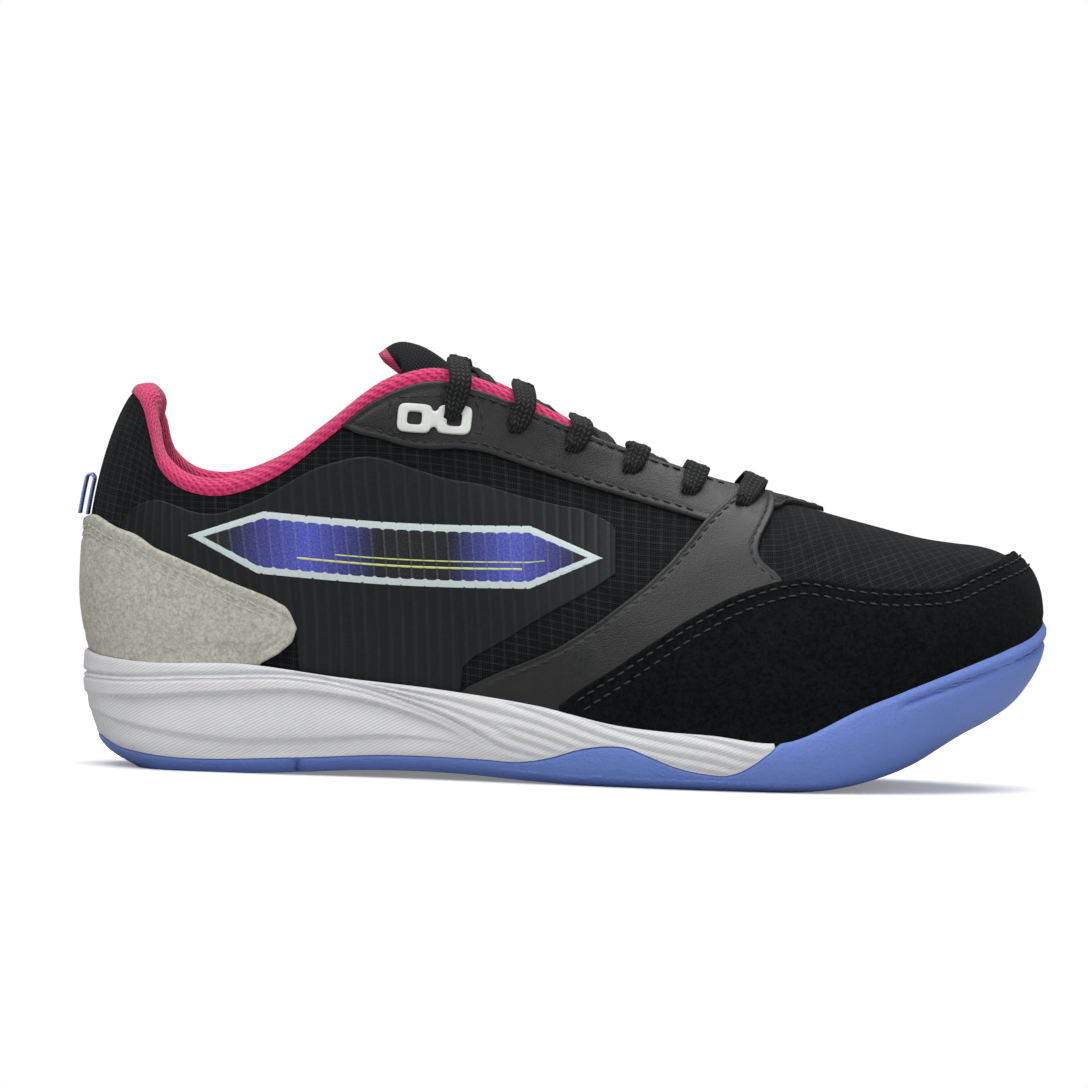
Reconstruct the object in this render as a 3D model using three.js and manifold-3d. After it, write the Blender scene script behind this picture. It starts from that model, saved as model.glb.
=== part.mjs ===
// A low court shoe for the right foot, built as the real one is: sole unit, lasted upper in layers,
// padded collar, tongue, lace, pull loop and removable sockliner. Millimetres, +X to the toe, +Z up,
// the outer (lateral) side faces -Y. The origin is the centre of the shoe's box, on the floor.
import * as THREE from "three";
import { mergeVertices } from "three/addons/utils/BufferGeometryUtils.js";
import Module from "manifold-3d";

const wasm = await Module();
wasm.setup();

// ---------- driving dimensions ----------
const SHOE_LENGTH = 285; // heel to toe, over the sole
const SHOE_WIDTH = 101; // across the ball of the sole
const SOLE_STANDOUT = 3.4; // how far the sole wall stands out past the upper
const MESH_THICK = 1.2; // knitted base layer of the upper
const OVERLAY_THICK = 1.2; // suede and synthetic leather overlays
const FILM_THICK = 0.4; // welded side film
const LINING_THICK = 0.9;
const LAYER_GAP = 0.4; // clearance between neighbouring layers
const LIP_CLEAR = 0.7; // room between the overlays and the sole's lip
const BOARD_CLEAR = 0.3;
const BACKER_THICK = 1.1; // heel counter and toe puff
const TREAD_THICK = 3.5; // outsole floor
const CUP_WALL = 2.4; // outsole side wall
const BOARD_THICK = 1.8;
const SOCK_FOAM = 4.0;
const SOCK_CLOTH = 0.8;
const SOCK_CLEAR = 1.4; // side clearance of the removable sockliner
const PLATE_RINGS = 28; // rings along each plate inside the shoe
const EYELET_R = 3.4;
const EYELET_SIDES = 8;
const FILM_SEAM = 0.03; // the same between the side film and the heel suede
const SEAM = 0.012; // share of the wall left open between two overlays
const CAP_STEP = 0.06; // stations the saddle's lower edge takes to step over the toe cap's end
const LACE_WIDTH = 5.8;
const LACE_THICK = 1.3;
const LACE_BUNCHED = 2.3; // width where it bunches up to pass an eyelet
const LACE_CLEAR = 0.6;
const LACE_FLOAT = 2.2; // between the tongue and the lace crossing it
// The ends inside the shoe, from the top eyelet: [station, share of the wall].
const LACE_TAIL = [[0.05, -0.06], [0.3, -0.14], [0.8, -0.2], [1.3, -0.24]];
const AGLET_LENGTH = 18;
const AGLET_R = 1.5;
const PLATE_THICK = 0.9;
const TONGUE_SKIN = 1.1;
const TONGUE_HEM = 3; // how far the foam stays inside the tongue's edge
const TONGUE_ROWS = 8;
const TONGUE_GAP = 1.3; // clearance between the tongue's layers
const THIN_AT = 5; // station by which the padded roll has turned thin
const FOAM_END = 4.4; // station where the collar foam ends
const PATCH_END = 10; // station where the throat patch ends
const COUNTER_END = 3.8; // station where the heel counter ends
const PUFF_START = 11.2; // station where the toe puff starts
const ROLL_END = 6.9; // station where the collar's roll has run out
const LOOP_WIDTH = 12;
const LOOP_HEIGHT = 11;
const LOOP_TAPE = 0.9;
const LOOP_CLEAR = 0.6; // between the loop and the mesh behind it
const LOOP_OPEN = 1.4; // gap between the two runs of the pull loop

// Sizes drawn at 285 x 101 mm are carried to the driving length and width by these.
const DRAWN_LENGTH = 285;
const DRAWN_WIDTH = 101;
const SX = SHOE_LENGTH / DRAWN_LENGTH;
const SY = (SHOE_WIDTH / 2 - SOLE_STANDOUT) / (DRAWN_WIDTH / 2 - SOLE_STANDOUT);

// Depths of each layer, measured outwards from the face of the mesh.
const OVERLAY_IN = LAYER_GAP + 0.1;
const OVERLAY_OUT = OVERLAY_IN + OVERLAY_THICK;
const BACKER_OUT = -MESH_THICK - LAYER_GAP;
const BACKER_IN = BACKER_OUT - BACKER_THICK;
const LINING_OUT = BACKER_IN - LAYER_GAP;
const LINING_IN = LINING_OUT - LINING_THICK;
const LIP_IN = OVERLAY_OUT + LIP_CLEAR;
const FILM_IN = LAYER_GAP + 0.25;

// ---------- stations ----------
// A station u runs 0 at the heel's centre to 14 at the toe's tip along each side. U joins both sides
// into one loop: 0..14 is the lateral side, 14..28 the medial side on its way back.
const TOE = 14;
const LOOP = 2 * TOE;

// Where the upper meets the sole: [u, x, y, z].
const FEATHER_LATERAL = [
  [0, 5.2, 0, 34], [1, 10.5, -15.5, 32.5], [2, 25, -26.5, 31.5], [3, 50, -30, 32],
  [4, 78, -31, 29], [5, 107, -33.5, 26.5], [6, 135, -39, 23], [7, 160, -44, 18],
  [8, 185, -47.1, 16.3], [9, 207, -46.3, 15], [10, 229, -41, 25.3], [11, 250, -31.5, 34],
  [12, 266, -19.5, 40.5], [13, 277.5, -6, 45.8], [14, 281.6, 8, 50],
];
const FEATHER_MEDIAL = [
  [1, 10.5, 15.5, 32.5], [2, 25, 26.5, 31.5], [3, 50, 29.5, 32], [4, 78, 29.5, 29],
  [5, 107, 30, 26.5], [6, 134, 33.5, 23], [7, 159, 39.5, 18], [8, 184, 45, 16.3],
  [9, 208, 47.1, 16], [10, 232, 45, 26.5], [11, 254, 39.5, 35.5], [12, 270, 31, 42],
  [13, 279, 20.5, 46.8],
];
// The upper's top edge: collar, throat, then the ridge of the closed vamp. [u, x, y, z].
const TOP_LATERAL = [
  [0, 14, 0, 109.5], [0.6, 15.5, -10, 109], [1, 18, -16, 106], [1.5, 20.5, -20.5, 98],
  [2, 24, -24.5, 88], [2.5, 32, -28, 82], [3, 44, -29.5, 81.2], [3.5, 58, -30, 87],
  [4, 72, -30, 98], [4.5, 86, -29.5, 109.5], [5, 101, -28, 115.2], [5.5, 115, -25.5, 113.2],
  [6, 130, -22, 107.9], [6.5, 145, -18.5, 102], [7, 159, -16, 97], [7.5, 173, -14, 92.5],
  [8, 186, -12.3, 88.4], [8.5, 196, -9, 86], [9, 203, -3, 84.5], [9.35, 206, 3, 83.8],
  [10, 218, 4.5, 80.5], [11, 234, 5.5, 76.6], [12, 246, 6.5, 73.8], [13, 253, 7, 72.6],
  [14, 256, 7.5, 72.3],
];
const WHOLE_WALL = 9.4; // ahead of this station the outsole takes the whole wall
const THROAT_END = 9.35; // from here to the toe both sides share the ridge
// The throat's middle line drifts towards the big toe: [u, y].
const CENTRE_Y = [[0, 0], [3, 0.8], [5, 2], [9.35, 3], [14, 7.5]];
const MEDIAL_COLLAR_RISE = 1.2;
// How each wall curves between its two edges: [u, bulge, rise share, top reach, top drop].
const WALL_SHAPE = [
  [0, -8.6, 0.3, 8.8, 11.5], [1, -6, 0.3, 6.5, 12], [2, -3.5, 0.35, 3.2, 15],
  [3, -3, 0.35, 1, 14], [4, -2.6, 0.35, 1.5, 20], [5, -2, 0.35, 5, 24],
  [6, -1.5, 0.36, 9, 21], [7, -1, 0.38, 13, 15], [8, -1, 0.42, 17, 9],
  [9, -1, 0.48, 24, 3], [10, -0.5, 0.56, 27, 0], [11, 0, 0.6, 24, 0],
  [12, 0, 0.66, 20, 0], [13, 0, 0.7, 17.5, 0], [14, 0, 0.74, 17, 0],
];
// The bed the board lies on, along the length: [x, z].
const BED = [
  [5, 30.8], [25, 28.6], [50, 28.6], [78, 25.8], [107, 23.2], [135, 19.6], [160, 14.8],
  [185, 13.2], [207, 12], [229, 16], [250, 22.5], [266, 29], [277, 35], [282, 37.5],
];
// How far the upper turns in under its foot, from the feather line down to the bed: [u, depth].
const TUCK = [[0, 0], [7, 0], [8, 0], [8.9, 0.1], [10, 1.5], [11, 3], [12, 4], [13, 5], [14, 5.5]];
// Underside of the sole along its length: [x, z], flat at heel and ball, lifted at waist and toe.
const SOLE_UNDERSIDE = [
  [0, 0], [52, 0], [67, 0.8], [84, 1.9], [100, 2.2], [116, 1.8], [134, 0.7], [148, 0.1],
  [156, 0], [202, 0], [210, 0.1], [222, 1.2], [233, 3.7], [244, 7.5], [255, 12.8], [267, 19.7], [276, 27], [285, 38],
];
// Top of the blue outsole wall above the floor: [x, z]. Past the last point it takes the whole wall.
const OUTSOLE_WALL_TOP = [
  [0, 10], [7, 9.2], [13, 6.2], [20, 5], [66, 5.2], [92, 6.8], [120, 6.6], [132, 6.4],
  [140, 8], [148, 10.6], [156, 12], [162, 11.8], [168, 9.6], [176, 6.6], [184, 5], [192, 5],
  [197, 7.5], [202, 11.5], [207, 16], [211, 18],
];
// Stand-out of the sole wall past the feather line at shares of its height.
const WALL_SHARES = [0, 0.1, 0.2, 0.35, 0.5, 0.7, 0.92, 1];
const WALL_HEEL = [-14, -6.6, -2.6, -0.5, 1.9, 3.3, 3.4, 3.3];
const WALL_SIDE = [-5, -1.6, 0, 1.4, 2.4, 3.3, 3.4, 3.3];
const WALL_TOE = [-26.5, -20, -13.6, -6, -1.6, 2.2, 3.4, 3.3];

// The tongue's middle line over its outer face: [x, z, half width, foam thickness, crown].
// The crown is the drop of its face per square millimetre out from the middle.
const TONGUE = [
  [206, 75, 11, 2.4, 0.022], [196, 80, 14, 2.6, 0.024], [183, 84.4, 16.5, 3, 0.026],
  [168, 90.2, 19, 3.4, 0.026], [152, 96.8, 22.5, 3.8, 0.024], [136, 104, 23, 4.2, 0.027],
  [121, 110.6, 23, 4.8, 0.028], [111, 116.6, 22.5, 6, 0.024], [104, 122.4, 22, 7, 0.018],
  [97, 126, 21.5, 6.5, 0.014], [90, 126.2, 20, 5, 0.012], [85.5, 123, 16, 2.4, 0.01],
];
const THROAT_X = [[85, 4.5], [101, 5], [130, 6], [159, 7], [186, 8], [206, 9.35]]; // [x, station]

// Outlines on the lateral side view, [x, z]; the medial side uses the same ones.
const HEEL_SUEDE_EDGE = [
  [2.2, 72.2], [5.2, 73.4], [11.2, 70.5], [22.3, 65.4], [30.2, 62], [37.1, 59.2], [45.1, 55.8],
  [53.7, 52.7], [59.4, 50.2], [63.2, 47.2], [65.2, 43], [65.6, 38.5],
];
const TOE_CAP_EDGE = [
  [142, 23.2], [147.7, 27.8], [157.5, 34.3], [168.7, 42.1], [179.6, 49.3], [188.8, 54.6],
  [196.4, 58], [204, 60.3], [210, 60.8], [216.5, 60.5], [224.5, 59.4], [234.1, 58.6],
  [243.6, 58.8], [253.7, 60.2],
];
const TOE_CAP_TIP_H = [[12, 0.53], [13, 0.6], [14, 0.66]]; // [u, share of the wall]
const SADDLE_REAR_EDGE = [
  [113.3, 26.6], [123.9, 32], [132.7, 35.7], [140.5, 39.4], [151.4, 46.6], [159.7, 53.1],
  [165.7, 58], [171.7, 64], [177.1, 70.3], [182.5, 77.2], [187.5, 82], [191, 84.8],
];
const SADDLE_FRONT_EDGE = [[202.2, 82.5], [201.4, 78], [200.6, 72], [200.4, 67.5], [202.6, 63.6]];
const EYESTAY_LOWER_EDGE = [
  [76, 102.6], [81.1, 99.4], [88.5, 97.9], [95.9, 96], [103.2, 95.5], [110.5, 95.8],
  [117.9, 95], [125.2, 92.8], [135, 89.7], [145.1, 86.7], [154.9, 84.1], [163.2, 81.9],
  [174.6, 78.9], [181, 77.2],
];
const FILM_UPPER_EDGE = [
  [13.3, 71.6], [16.2, 75.5], [20.1, 77.9], [23.9, 78.6], [28.5, 77.3], [36.5, 75.2], [42.1, 75.4],
  [47.7, 77.4], [55.4, 81], [60.9, 84.4], [68.8, 89], [77.5, 92], [87.6, 92.8], [98.5, 89.8],
  [106, 87.7], [115.7, 86.2], [128.1, 83.1], [140.4, 80.5], [146.3, 79.6], [152, 77.4],
  [156.7, 73.6], [159.2, 68],
];
const FILM_FRONT_EDGE = [
  [113.5, 32.8], [117, 36.3], [125.1, 41], [132.3, 45.9], [140.1, 50.7], [151, 57], [157.3, 61.9],
];
const EYELETS = [[107.7, 105], [126.4, 101.4], [143, 96.2], [160, 90.4], [177.4, 84.6], [193.2, 81.2]];
// The white plate, over the front of the collar: [station, share of the wall].
const PLATE_FROM = 4.72;
const PLATE_TO = 5.5;
const PLATE_LOW = [[4.72, 0.81], [5.5, 0.78]];
const PLATE_HIGH = [[4.72, 0.93], [5.05, 0.93], [5.5, 0.9]];

// ---------- curves ----------
// A smooth curve through knots [u, v1, v2, ...]; periodic if a period is given.
function smooth(knots, period) {
  const n = knots.length;
  const at = (i) => {
    if (!period) return knots[Math.min(Math.max(i, 0), n - 1)];
    const k = ((i % n) + n) % n;
    const turn = Math.floor(i / n) * period;
    return [knots[k][0] + turn, ...knots[k].slice(1)];
  };
  const slope = (i, j) => {
    const [a, b, c] = [at(i - 1), at(i), at(i + 1)];
    const [h0, h1] = [b[0] - a[0], c[0] - b[0]];
    if (h0 <= 0) return h1 > 0 ? (c[j] - b[j]) / h1 : 0;
    if (h1 <= 0) return (b[j] - a[j]) / h0;
    return (h1 * ((b[j] - a[j]) / h0) + h0 * ((c[j] - b[j]) / h1)) / (h0 + h1);
  };
  return (u) => {
    const x = period ? u - Math.floor((u - knots[0][0]) / period) * period : u;
    const q = Math.min(Math.max(x, knots[0][0]), period ? Infinity : knots[n - 1][0]);
    let i = 0;
    while (i < (period ? n - 1 : n - 2) && at(i + 1)[0] <= q) i++;
    const [a, b] = [at(i), at(i + 1)];
    const h = b[0] - a[0];
    const t = (q - a[0]) / h;
    return a.slice(1).map((v, k) => {
      const j = k + 1;
      const [m0, m1] = [slope(i, j) * h, slope(i + 1, j) * h];
      const [t2, t3] = [t * t, t * t * t];
      return (2 * t3 - 3 * t2 + 1) * v + (t3 - 2 * t2 + t) * m0 +
        (3 * t2 - 2 * t3) * b[j] + (t3 - t2) * m1;
    });
  };
}
// Straight lines through knots [u, v].
function linear(knots) {
  return (u) => {
    let i = 0;
    while (i < knots.length - 2 && knots[i + 1][0] <= u) i++;
    const [a, b] = [knots[i], knots[i + 1]];
    const t = Math.min(Math.max((u - a[0]) / (b[0] - a[0] || 1), 0), 1);
    return a[1] + (b[1] - a[1]) * t;
  };
}
const clamp = (v, lo, hi) => Math.min(Math.max(v, lo), hi);
const ease = (v) => clamp(v, 0, 1) ** 2 * (3 - 2 * clamp(v, 0, 1));
const vec = (a) => new THREE.Vector3(a[0], a[1], a[2]);
const sized = ([u, x, y, z]) => [u, x * SX, y * SY, z];
const sizedSide = ([x, z]) => [x * SX, z];
const wrap = (U) => ((U % LOOP) + LOOP) % LOOP;
const station = (U) => (wrap(U) <= TOE ? wrap(U) : LOOP - wrap(U));
const isMedial = (U) => wrap(U) > TOE;

const centreY = smooth(CENTRE_Y.map(([u, y]) => [u, y * SY]));
const topLateral = TOP_LATERAL.map(sized);
const topMedial = topLateral.slice(1, -1).map(([u, x, y, z]) => {
  const rise = u < THROAT_END ? MEDIAL_COLLAR_RISE * ease(u / 2) * ease((7 - u) / 2) : 0;
  return [u, x, u < THROAT_END ? 2 * centreY(u)[0] - y : y, z + rise];
});
const onLoop = (lateral, medial) =>
  lateral.concat([...medial].reverse().map(([u, ...v]) => [LOOP - u, ...v]));
const feather = smooth(onLoop(FEATHER_LATERAL.map(sized), FEATHER_MEDIAL.map(sized)), LOOP);
const top = smooth(onLoop(topLateral, topMedial), LOOP);
const wallShape = smooth(WALL_SHAPE);
const bed = smooth(BED.map(sizedSide));
const tuck = smooth(TUCK);
const undersideCurve = smooth(SOLE_UNDERSIDE.map(sizedSide));
const underside = (x) => Math.max(undersideCurve(x)[0], 0);
const outsoleTop = smooth(OUTSOLE_WALL_TOP.map(sizedSide));

// Outward horizontal direction of the feather line at U.
function outward(U) {
  const d = 0.05;
  const [a, b] = [feather(U - d), feather(U + d)];
  return new THREE.Vector3(b[1] - a[1], a[0] - b[0], 0).normalize();
}
// A point of the mesh's face. h is 0 at the feather line, 1 at the top edge, and -1 at the board.
function face(U, h) {
  const u = station(U);
  const foot = vec(feather(U));
  if (h < 0) {
    const low = foot.clone().addScaledVector(outward(U), -tuck(u)[0]);
    return foot.lerp(low.setZ(bed(low.x)[0]), -h);
  }
  const head = vec(top(U));
  const [bulge, riseShare, reach, drop] = wallShape(u);
  const out = outward(U);
  const turn = u < 8.5 ? 1 : u < THROAT_END ? 1 - ease((u - 8.5) / 0.8) : ease((u - 11) / 3);
  const outTop = new THREE.Vector3(out.x * turn, out.y, 0).normalize();
  const rise = head.z - foot.z;
  const low = foot.clone().addScaledVector(out, -bulge).setZ(foot.z + rise * riseShare);
  const high = head.clone().addScaledVector(outTop, reach).setZ(head.z - drop);
  return new THREE.CubicBezierCurve3(foot, low, high, head).getPoint(h);
}
function normal(U, h) {
  const [d, e] = [0.04, 0.02];
  const hh = clamp(h, 0.02, 0.98);
  const along = face(U + d, hh).sub(face(U - d, hh));
  const up = face(U, hh + e).sub(face(U, hh - e));
  return h < 0 ? outward(U) : along.cross(up).normalize();
}
const layer = (U, h, depth) => face(U, h).addScaledVector(normal(U, h), depth);

// The station and share of height of a point drawn on the lateral side view.
function locate([x, z]) {
  let best = [0, 0, Infinity];
  const miss = (u, h) => {
    const p = face(u, h);
    return (p.x - x) ** 2 + (p.z - z) ** 2;
  };
  for (let u = 0; u <= 13; u += 0.25)
    for (let h = 0; h <= 1; h += 0.05) {
      const m = miss(u, h);
      if (m < best[2]) best = [u, h, m];
    }
  for (let step = 0.125; step > 1e-4; step /= 2)
    for (const [du, dh] of [[1, 0], [-1, 0], [0, 1], [0, -1], [1, 1], [-1, -1], [1, -1], [-1, 1]]) {
      const [u, h] = [clamp(best[0] + du * step, 0, 14), clamp(best[1] + dh * step * 0.4, 0, 1)];
      const m = miss(u, h);
      if (m < best[2]) best = [u, h, m];
    }
  return [best[0], best[1]];
}
const edge = (points) => points.map(sizedSide).map(locate).sort((a, b) => a[0] - b[0]);

// ---------- solids ----------
// A solid through rings; each ring is two rows of points, one forwards and one back.
function loft(rings, { capStart = true, capEnd = true } = {}) {
  const position = [];
  const push = (a, b, c) => [a, b, c].forEach((p) => position.push(p.x, p.y, p.z));
  const loops = rings.map(([a, b]) => [...a, ...[...b].reverse()]);
  for (let i = 0; i + 1 < loops.length; i++) {
    const n = loops[i].length;
    for (let j = 0; j < n; j++) {
      const [p, q] = [loops[i][j], loops[i][(j + 1) % n]];
      const [r, s] = [loops[i + 1][j], loops[i + 1][(j + 1) % n]];
      push(p, q, s);
      push(p, s, r);
    }
  }
  const cap = ([a, b], flip) => {
    for (let j = 0; j + 1 < a.length; j++) {
      const quad = flip ? [b[j], b[j + 1], a[j + 1], a[j]] : [a[j], a[j + 1], b[j + 1], b[j]];
      push(quad[0], quad[1], quad[2]);
      push(quad[0], quad[2], quad[3]);
    }
  };
  if (capStart) cap(rings[0], true);
  if (capEnd) cap(rings.at(-1), false);
  const raw = new THREE.BufferGeometry();
  raw.setAttribute("position", new THREE.Float32BufferAttribute(position, 3));
  return facingOut(raw);
}
// The geometry with shared vertices merged, collapsed faces dropped and its faces turned outwards.
function facingOut(raw) {
  const g = mergeVertices(raw, 1e-3);
  const p = g.attributes.position;
  const kept = [];
  let volume = 0;
  const [a, b, c] = [new THREE.Vector3(), new THREE.Vector3(), new THREE.Vector3()];
  for (let i = 0; i < g.index.count; i += 3) {
    const ids = [0, 1, 2].map((k) => g.index.getX(i + k));
    if (new Set(ids).size < 3) continue;
    kept.push(ids);
    a.fromBufferAttribute(p, ids[0]);
    b.fromBufferAttribute(p, ids[1]);
    c.fromBufferAttribute(p, ids[2]);
    volume += a.dot(b.clone().cross(c));
  }
  g.setIndex(kept.flatMap((ids) => (volume < 0 ? [ids[0], ids[2], ids[1]] : ids)));
  return g;
}
const solidOf = (g) => {
  const plain = new THREE.BufferGeometry().setAttribute("position", g.getAttribute("position"));
  if (g.index) plain.setIndex(g.index);
  const m = mergeVertices(plain, 1e-4);
  return new wasm.Manifold(new wasm.Mesh({
    numProp: 3,
    vertProperties: new Float32Array(m.attributes.position.array),
    triVerts: new Uint32Array(m.index.array),
  }));
};
const geometryOf = (solid) => {
  const m = solid.getMesh();
  const g = new THREE.BufferGeometry();
  g.setAttribute("position", new THREE.BufferAttribute(new Float32Array(m.vertProperties), 3));
  g.setIndex([...m.triVerts]);
  g.computeVertexNormals();
  return g;
};
const cut = (g, ...tools) =>
  geometryOf(tools.reduce((s, tool) => s.subtract(solidOf(tool)), solidOf(g)));

// Stations between two ends: close together round the heel and the toe.
function stations(from, to, extra = []) {
  const list = [from, to, ...extra];
  for (let k = Math.ceil(from / 0.25); k * 0.25 < to; k++) {
    const u = station(k * 0.25);
    if (u < 1.6 || u > 11 || k % 2 === 0) list.push(k * 0.25);
  }
  return [...new Set(list.map((v) => Math.round(v * 1000) / 1000))]
    .filter((v) => v >= from && v <= to)
    .sort((a, b) => a - b)
    .filter((v, i, all) => i === 0 || v - all[i - 1] > 0.03);
}
// Shares of the wall that every layer is cut at, so that neighbouring layers have matching facets.
const GRID = [-1, 0, 0.13, 0.28, 0.44, 0.6, 0.75, 0.87, 0.95, 1];
const column = (U, low, high, depth) =>
  GRID.map((h) => layer(U, clamp(h, low, high), depth));
// A layer of the upper between two edges low(u) and high(u), from one depth to another.
function panel(from, to, low, high, deep, shallow, extra = []) {
  const ring = (U) => {
    const [l, h] = [low(station(U)), high(station(U))];
    return [column(U, l, h, shallow), column(U, l, h, deep)];
  };
  return loft(stations(from, to, extra).map(ring));
}
// A layer that crosses the ridge, between two stations; it closes round the toe if it reaches it.
function dome(from, to, low, deep, shallow) {
  const ring = (u) => {
    const arch = (depth) => {
      const [a, b] = [column(u, low(u), 1, depth), column(LOOP - u, low(u), 1, depth)];
      const crown = a.at(-1).clone().add(b.at(-1)).multiplyScalar(0.5);
      return [...a.slice(0, -1), crown, ...b.slice(0, -1).reverse()];
    };
    return [arch(shallow), arch(deep)];
  };
  return loft(stations(from, to).map(ring), { capEnd: to < TOE });
}

// ---------- sole ----------
function standout(U, share) {
  const u = station(U);
  const pick = (table) => linear(WALL_SHARES.map((s, i) => [s, table[i]]))(share);
  const side = pick(WALL_SIDE);
  const heelShare = 1 - ease(u / 2.4);
  const toeShare = ease((u - 9.4) / 4.2);
  const drawn = side + (pick(WALL_HEEL) - side) * heelShare + (pick(WALL_TOE) - side) * toeShare;
  return drawn > 0 ? (drawn * SOLE_STANDOUT) / WALL_SIDE[6] : drawn;
}
const pushedOut = (U, distance, z) => {
  const f = feather(U);
  const o = outward(U);
  return new THREE.Vector3(f[0] + o.x * distance, f[1] + o.y * distance, z);
};
function soleLimits(U) {
  const floor = underside(pushedOut(U, standout(U, 0), 0).x);
  const rim = feather(U)[2];
  const split = station(U) > WHOLE_WALL ? rim : Math.min(outsoleTop(feather(U)[0])[0], rim);
  const tray = Math.min(floor + TREAD_THICK, split - 0.6);
  const seat = bed(pushedOut(U, -tuck(station(U))[0] - 2, 0).x)[0];
  return { floor, rim, split, tray, seat };
}
const shareOf = (U, z) => {
  const { floor, rim } = soleLimits(U);
  return clamp((z - floor) / (rim - floor), 0, 1);
};
const wallPoint = (U, z) => pushedOut(U, standout(U, shareOf(U, z)), z);
const evenly = (from, to, n) => Array.from({ length: n + 1 }, (_, i) => from + ((to - from) * i) / n);
const INNER_ROWS = 5;
const WALL_ROWS = 4;
// The face between the outsole's wall and the midsole, at height z.
const cupDepth = (U, z) =>
  Math.min(standout(U, shareOf(U, z)) - CUP_WALL, LIP_IN - tuck(station(U))[0] - LAYER_GAP);

function outsoleSide(U) {
  const { floor, split, tray, seat } = soleLimits(U);
  const outer = evenly(floor, split, WALL_ROWS).map((z) => wallPoint(U, z));
  const holdsUpper = split > seat;
  const start = holdsUpper ? seat - 0.6 : split;
  const inner = evenly(start, tray, INNER_ROWS).map((z) => pushedOut(U, cupDepth(U, z), z));
  const ledge = holdsUpper
    ? [pushedOut(U, LIP_IN, split), pushedOut(U, LIP_IN - tuck(station(U))[0], seat - LAYER_GAP)]
    : [inner[0], inner[0]];
  return [...outer, ...ledge, ...inner];
}
function midsoleSide(U) {
  const { rim, split, tray, seat } = soleLimits(U);
  const top = seat - LAYER_GAP;
  const shown = rim - split > 3;
  const step = shown ? split + LAYER_GAP * (1 + 4 * ease(2 * (station(U) - 8.3))) : top;
  const hidden = (z) => pushedOut(U, cupDepth(U, z - LAYER_GAP) - LAYER_GAP, z);
  const low = evenly(tray + LAYER_GAP, step, INNER_ROWS).map(hidden);
  const last = low.at(-1);
  const wall = evenly(step, rim, WALL_ROWS).map((z) => (shown ? wallPoint(U, z) : last));
  const lip = [pushedOut(U, LIP_IN, rim), pushedOut(U, LIP_IN, top)];
  return [...low, ...wall, ...(shown ? lip : [last, last])];
}
const bothSides = (build) => (u) => [build(u), build(LOOP - u)];
const SOLE_STATIONS = stations(0, TOE, [8.75, 9.25, 9.45]);
const soleLoft = (side) => loft(SOLE_STATIONS.map(bothSides(side)), { capStart: false, capEnd: false });
// A plate inside the upper, on the bed: its edge follows the feather line at a depth.
function innerPlate(depth, bottom, thick, rimRise = 0, underRise = 0) {
  const side = (U) => {
    const fade = 1 - ease((station(U) - 4) / 3);
    const [lift, low] = [rimRise * fade, underRise * fade];
    const point = (inset, height) => {
      const p = pushedOut(U, depth - tuck(station(U))[0] - inset, 0);
      return p.setZ(bed(p.x)[0] + bottom + height);
    };
    return [
      point(9, 0), point(5, low * 0.25), point(0, low),
      point(0, thick + lift), point(5, thick + lift * 0.25), point(9, thick),
    ];
  };
  const rings = evenly(0, TOE, PLATE_RINGS).map(bothSides(side));
  return loft(rings, { capStart: false, capEnd: false });
}

// ---------- build ----------
const shoe = new THREE.Group();
const FINISH = {
  blueRubber: { color: 0x6f8fd8, roughness: 0.55, metalness: 0 },
  whiteFoam: { color: 0xe4e2e4, roughness: 0.6, metalness: 0 },
  blackMesh: { color: 0x1b1c1d, roughness: 0.9, metalness: 0 },
  blackSuede: { color: 0x0f1113, roughness: 1, metalness: 0 },
  blackLeather: { color: 0x242525, roughness: 0.5, metalness: 0 },
  greySuede: { color: 0xb4b3a6, roughness: 1, metalness: 0 },
  pinkMesh: { color: 0xd83a78, roughness: 0.9, metalness: 0 },
  sideFilm: { color: 0x2c2f31, roughness: 0.4, metalness: 0 },
  clearPlastic: { color: 0xdfe3dc, roughness: 0.3, metalness: 0 },
  foam: { color: 0xd8c98a, roughness: 1, metalness: 0 },
  board: { color: 0xcfc6b4, roughness: 0.9, metalness: 0 },
  navyTape: { color: 0x3a4a8c, roughness: 0.8, metalness: 0 },
  blackLace: { color: 0x141515, roughness: 0.9, metalness: 0 },
};
const materials = Object.fromEntries(
  Object.entries(FINISH).map(([name, look]) => [name, new THREE.MeshStandardMaterial(look)]),
);
function add(name, geometry, finish) {
  geometry.computeVertexNormals();
  const mesh = new THREE.Mesh(geometry, materials[finish]);
  mesh.name = name;
  shoe.add(mesh);
  return mesh;
}

// Outlines as [station, share] pairs, and the edges of the overlays made from them.
const heelEdge = edge(HEEL_SUEDE_EDGE);
const capEdge = [...edge(TOE_CAP_EDGE).filter(([u]) => u < 11.6), ...TOE_CAP_TIP_H];
const saddleRear = edge(SADDLE_REAR_EDGE);
const saddleFront = edge(SADDLE_FRONT_EDGE)[0][0];
const eyestayLow = edge(EYESTAY_LOWER_EDGE);
const filmTop = edge(FILM_UPPER_EDGE);
const filmFront = edge(FILM_FRONT_EDGE);
const heelEnd = heelEdge.at(-1)[0];
const capStart = capEdge[0][0];
const saddleStart = saddleRear[0][0];
const eyestayEnd = saddleRear.at(-1)[0];
const heelHigh = linear(heelEdge);
const capHigh = linear(capEdge);
const saddleHigh = linear([...saddleRear, [eyestayEnd + 0.12, 1]]);
const eyestayBelow = linear(eyestayLow);
const someOf = (list) => list.filter((_, i) => i % 3 === 1).map(([u]) => u);
// Where the toe cap and the saddle meet, both are cut at these stations.
const capSeam = capEdge.map(([u]) => u).filter((u) => u < saddleFront);

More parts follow.
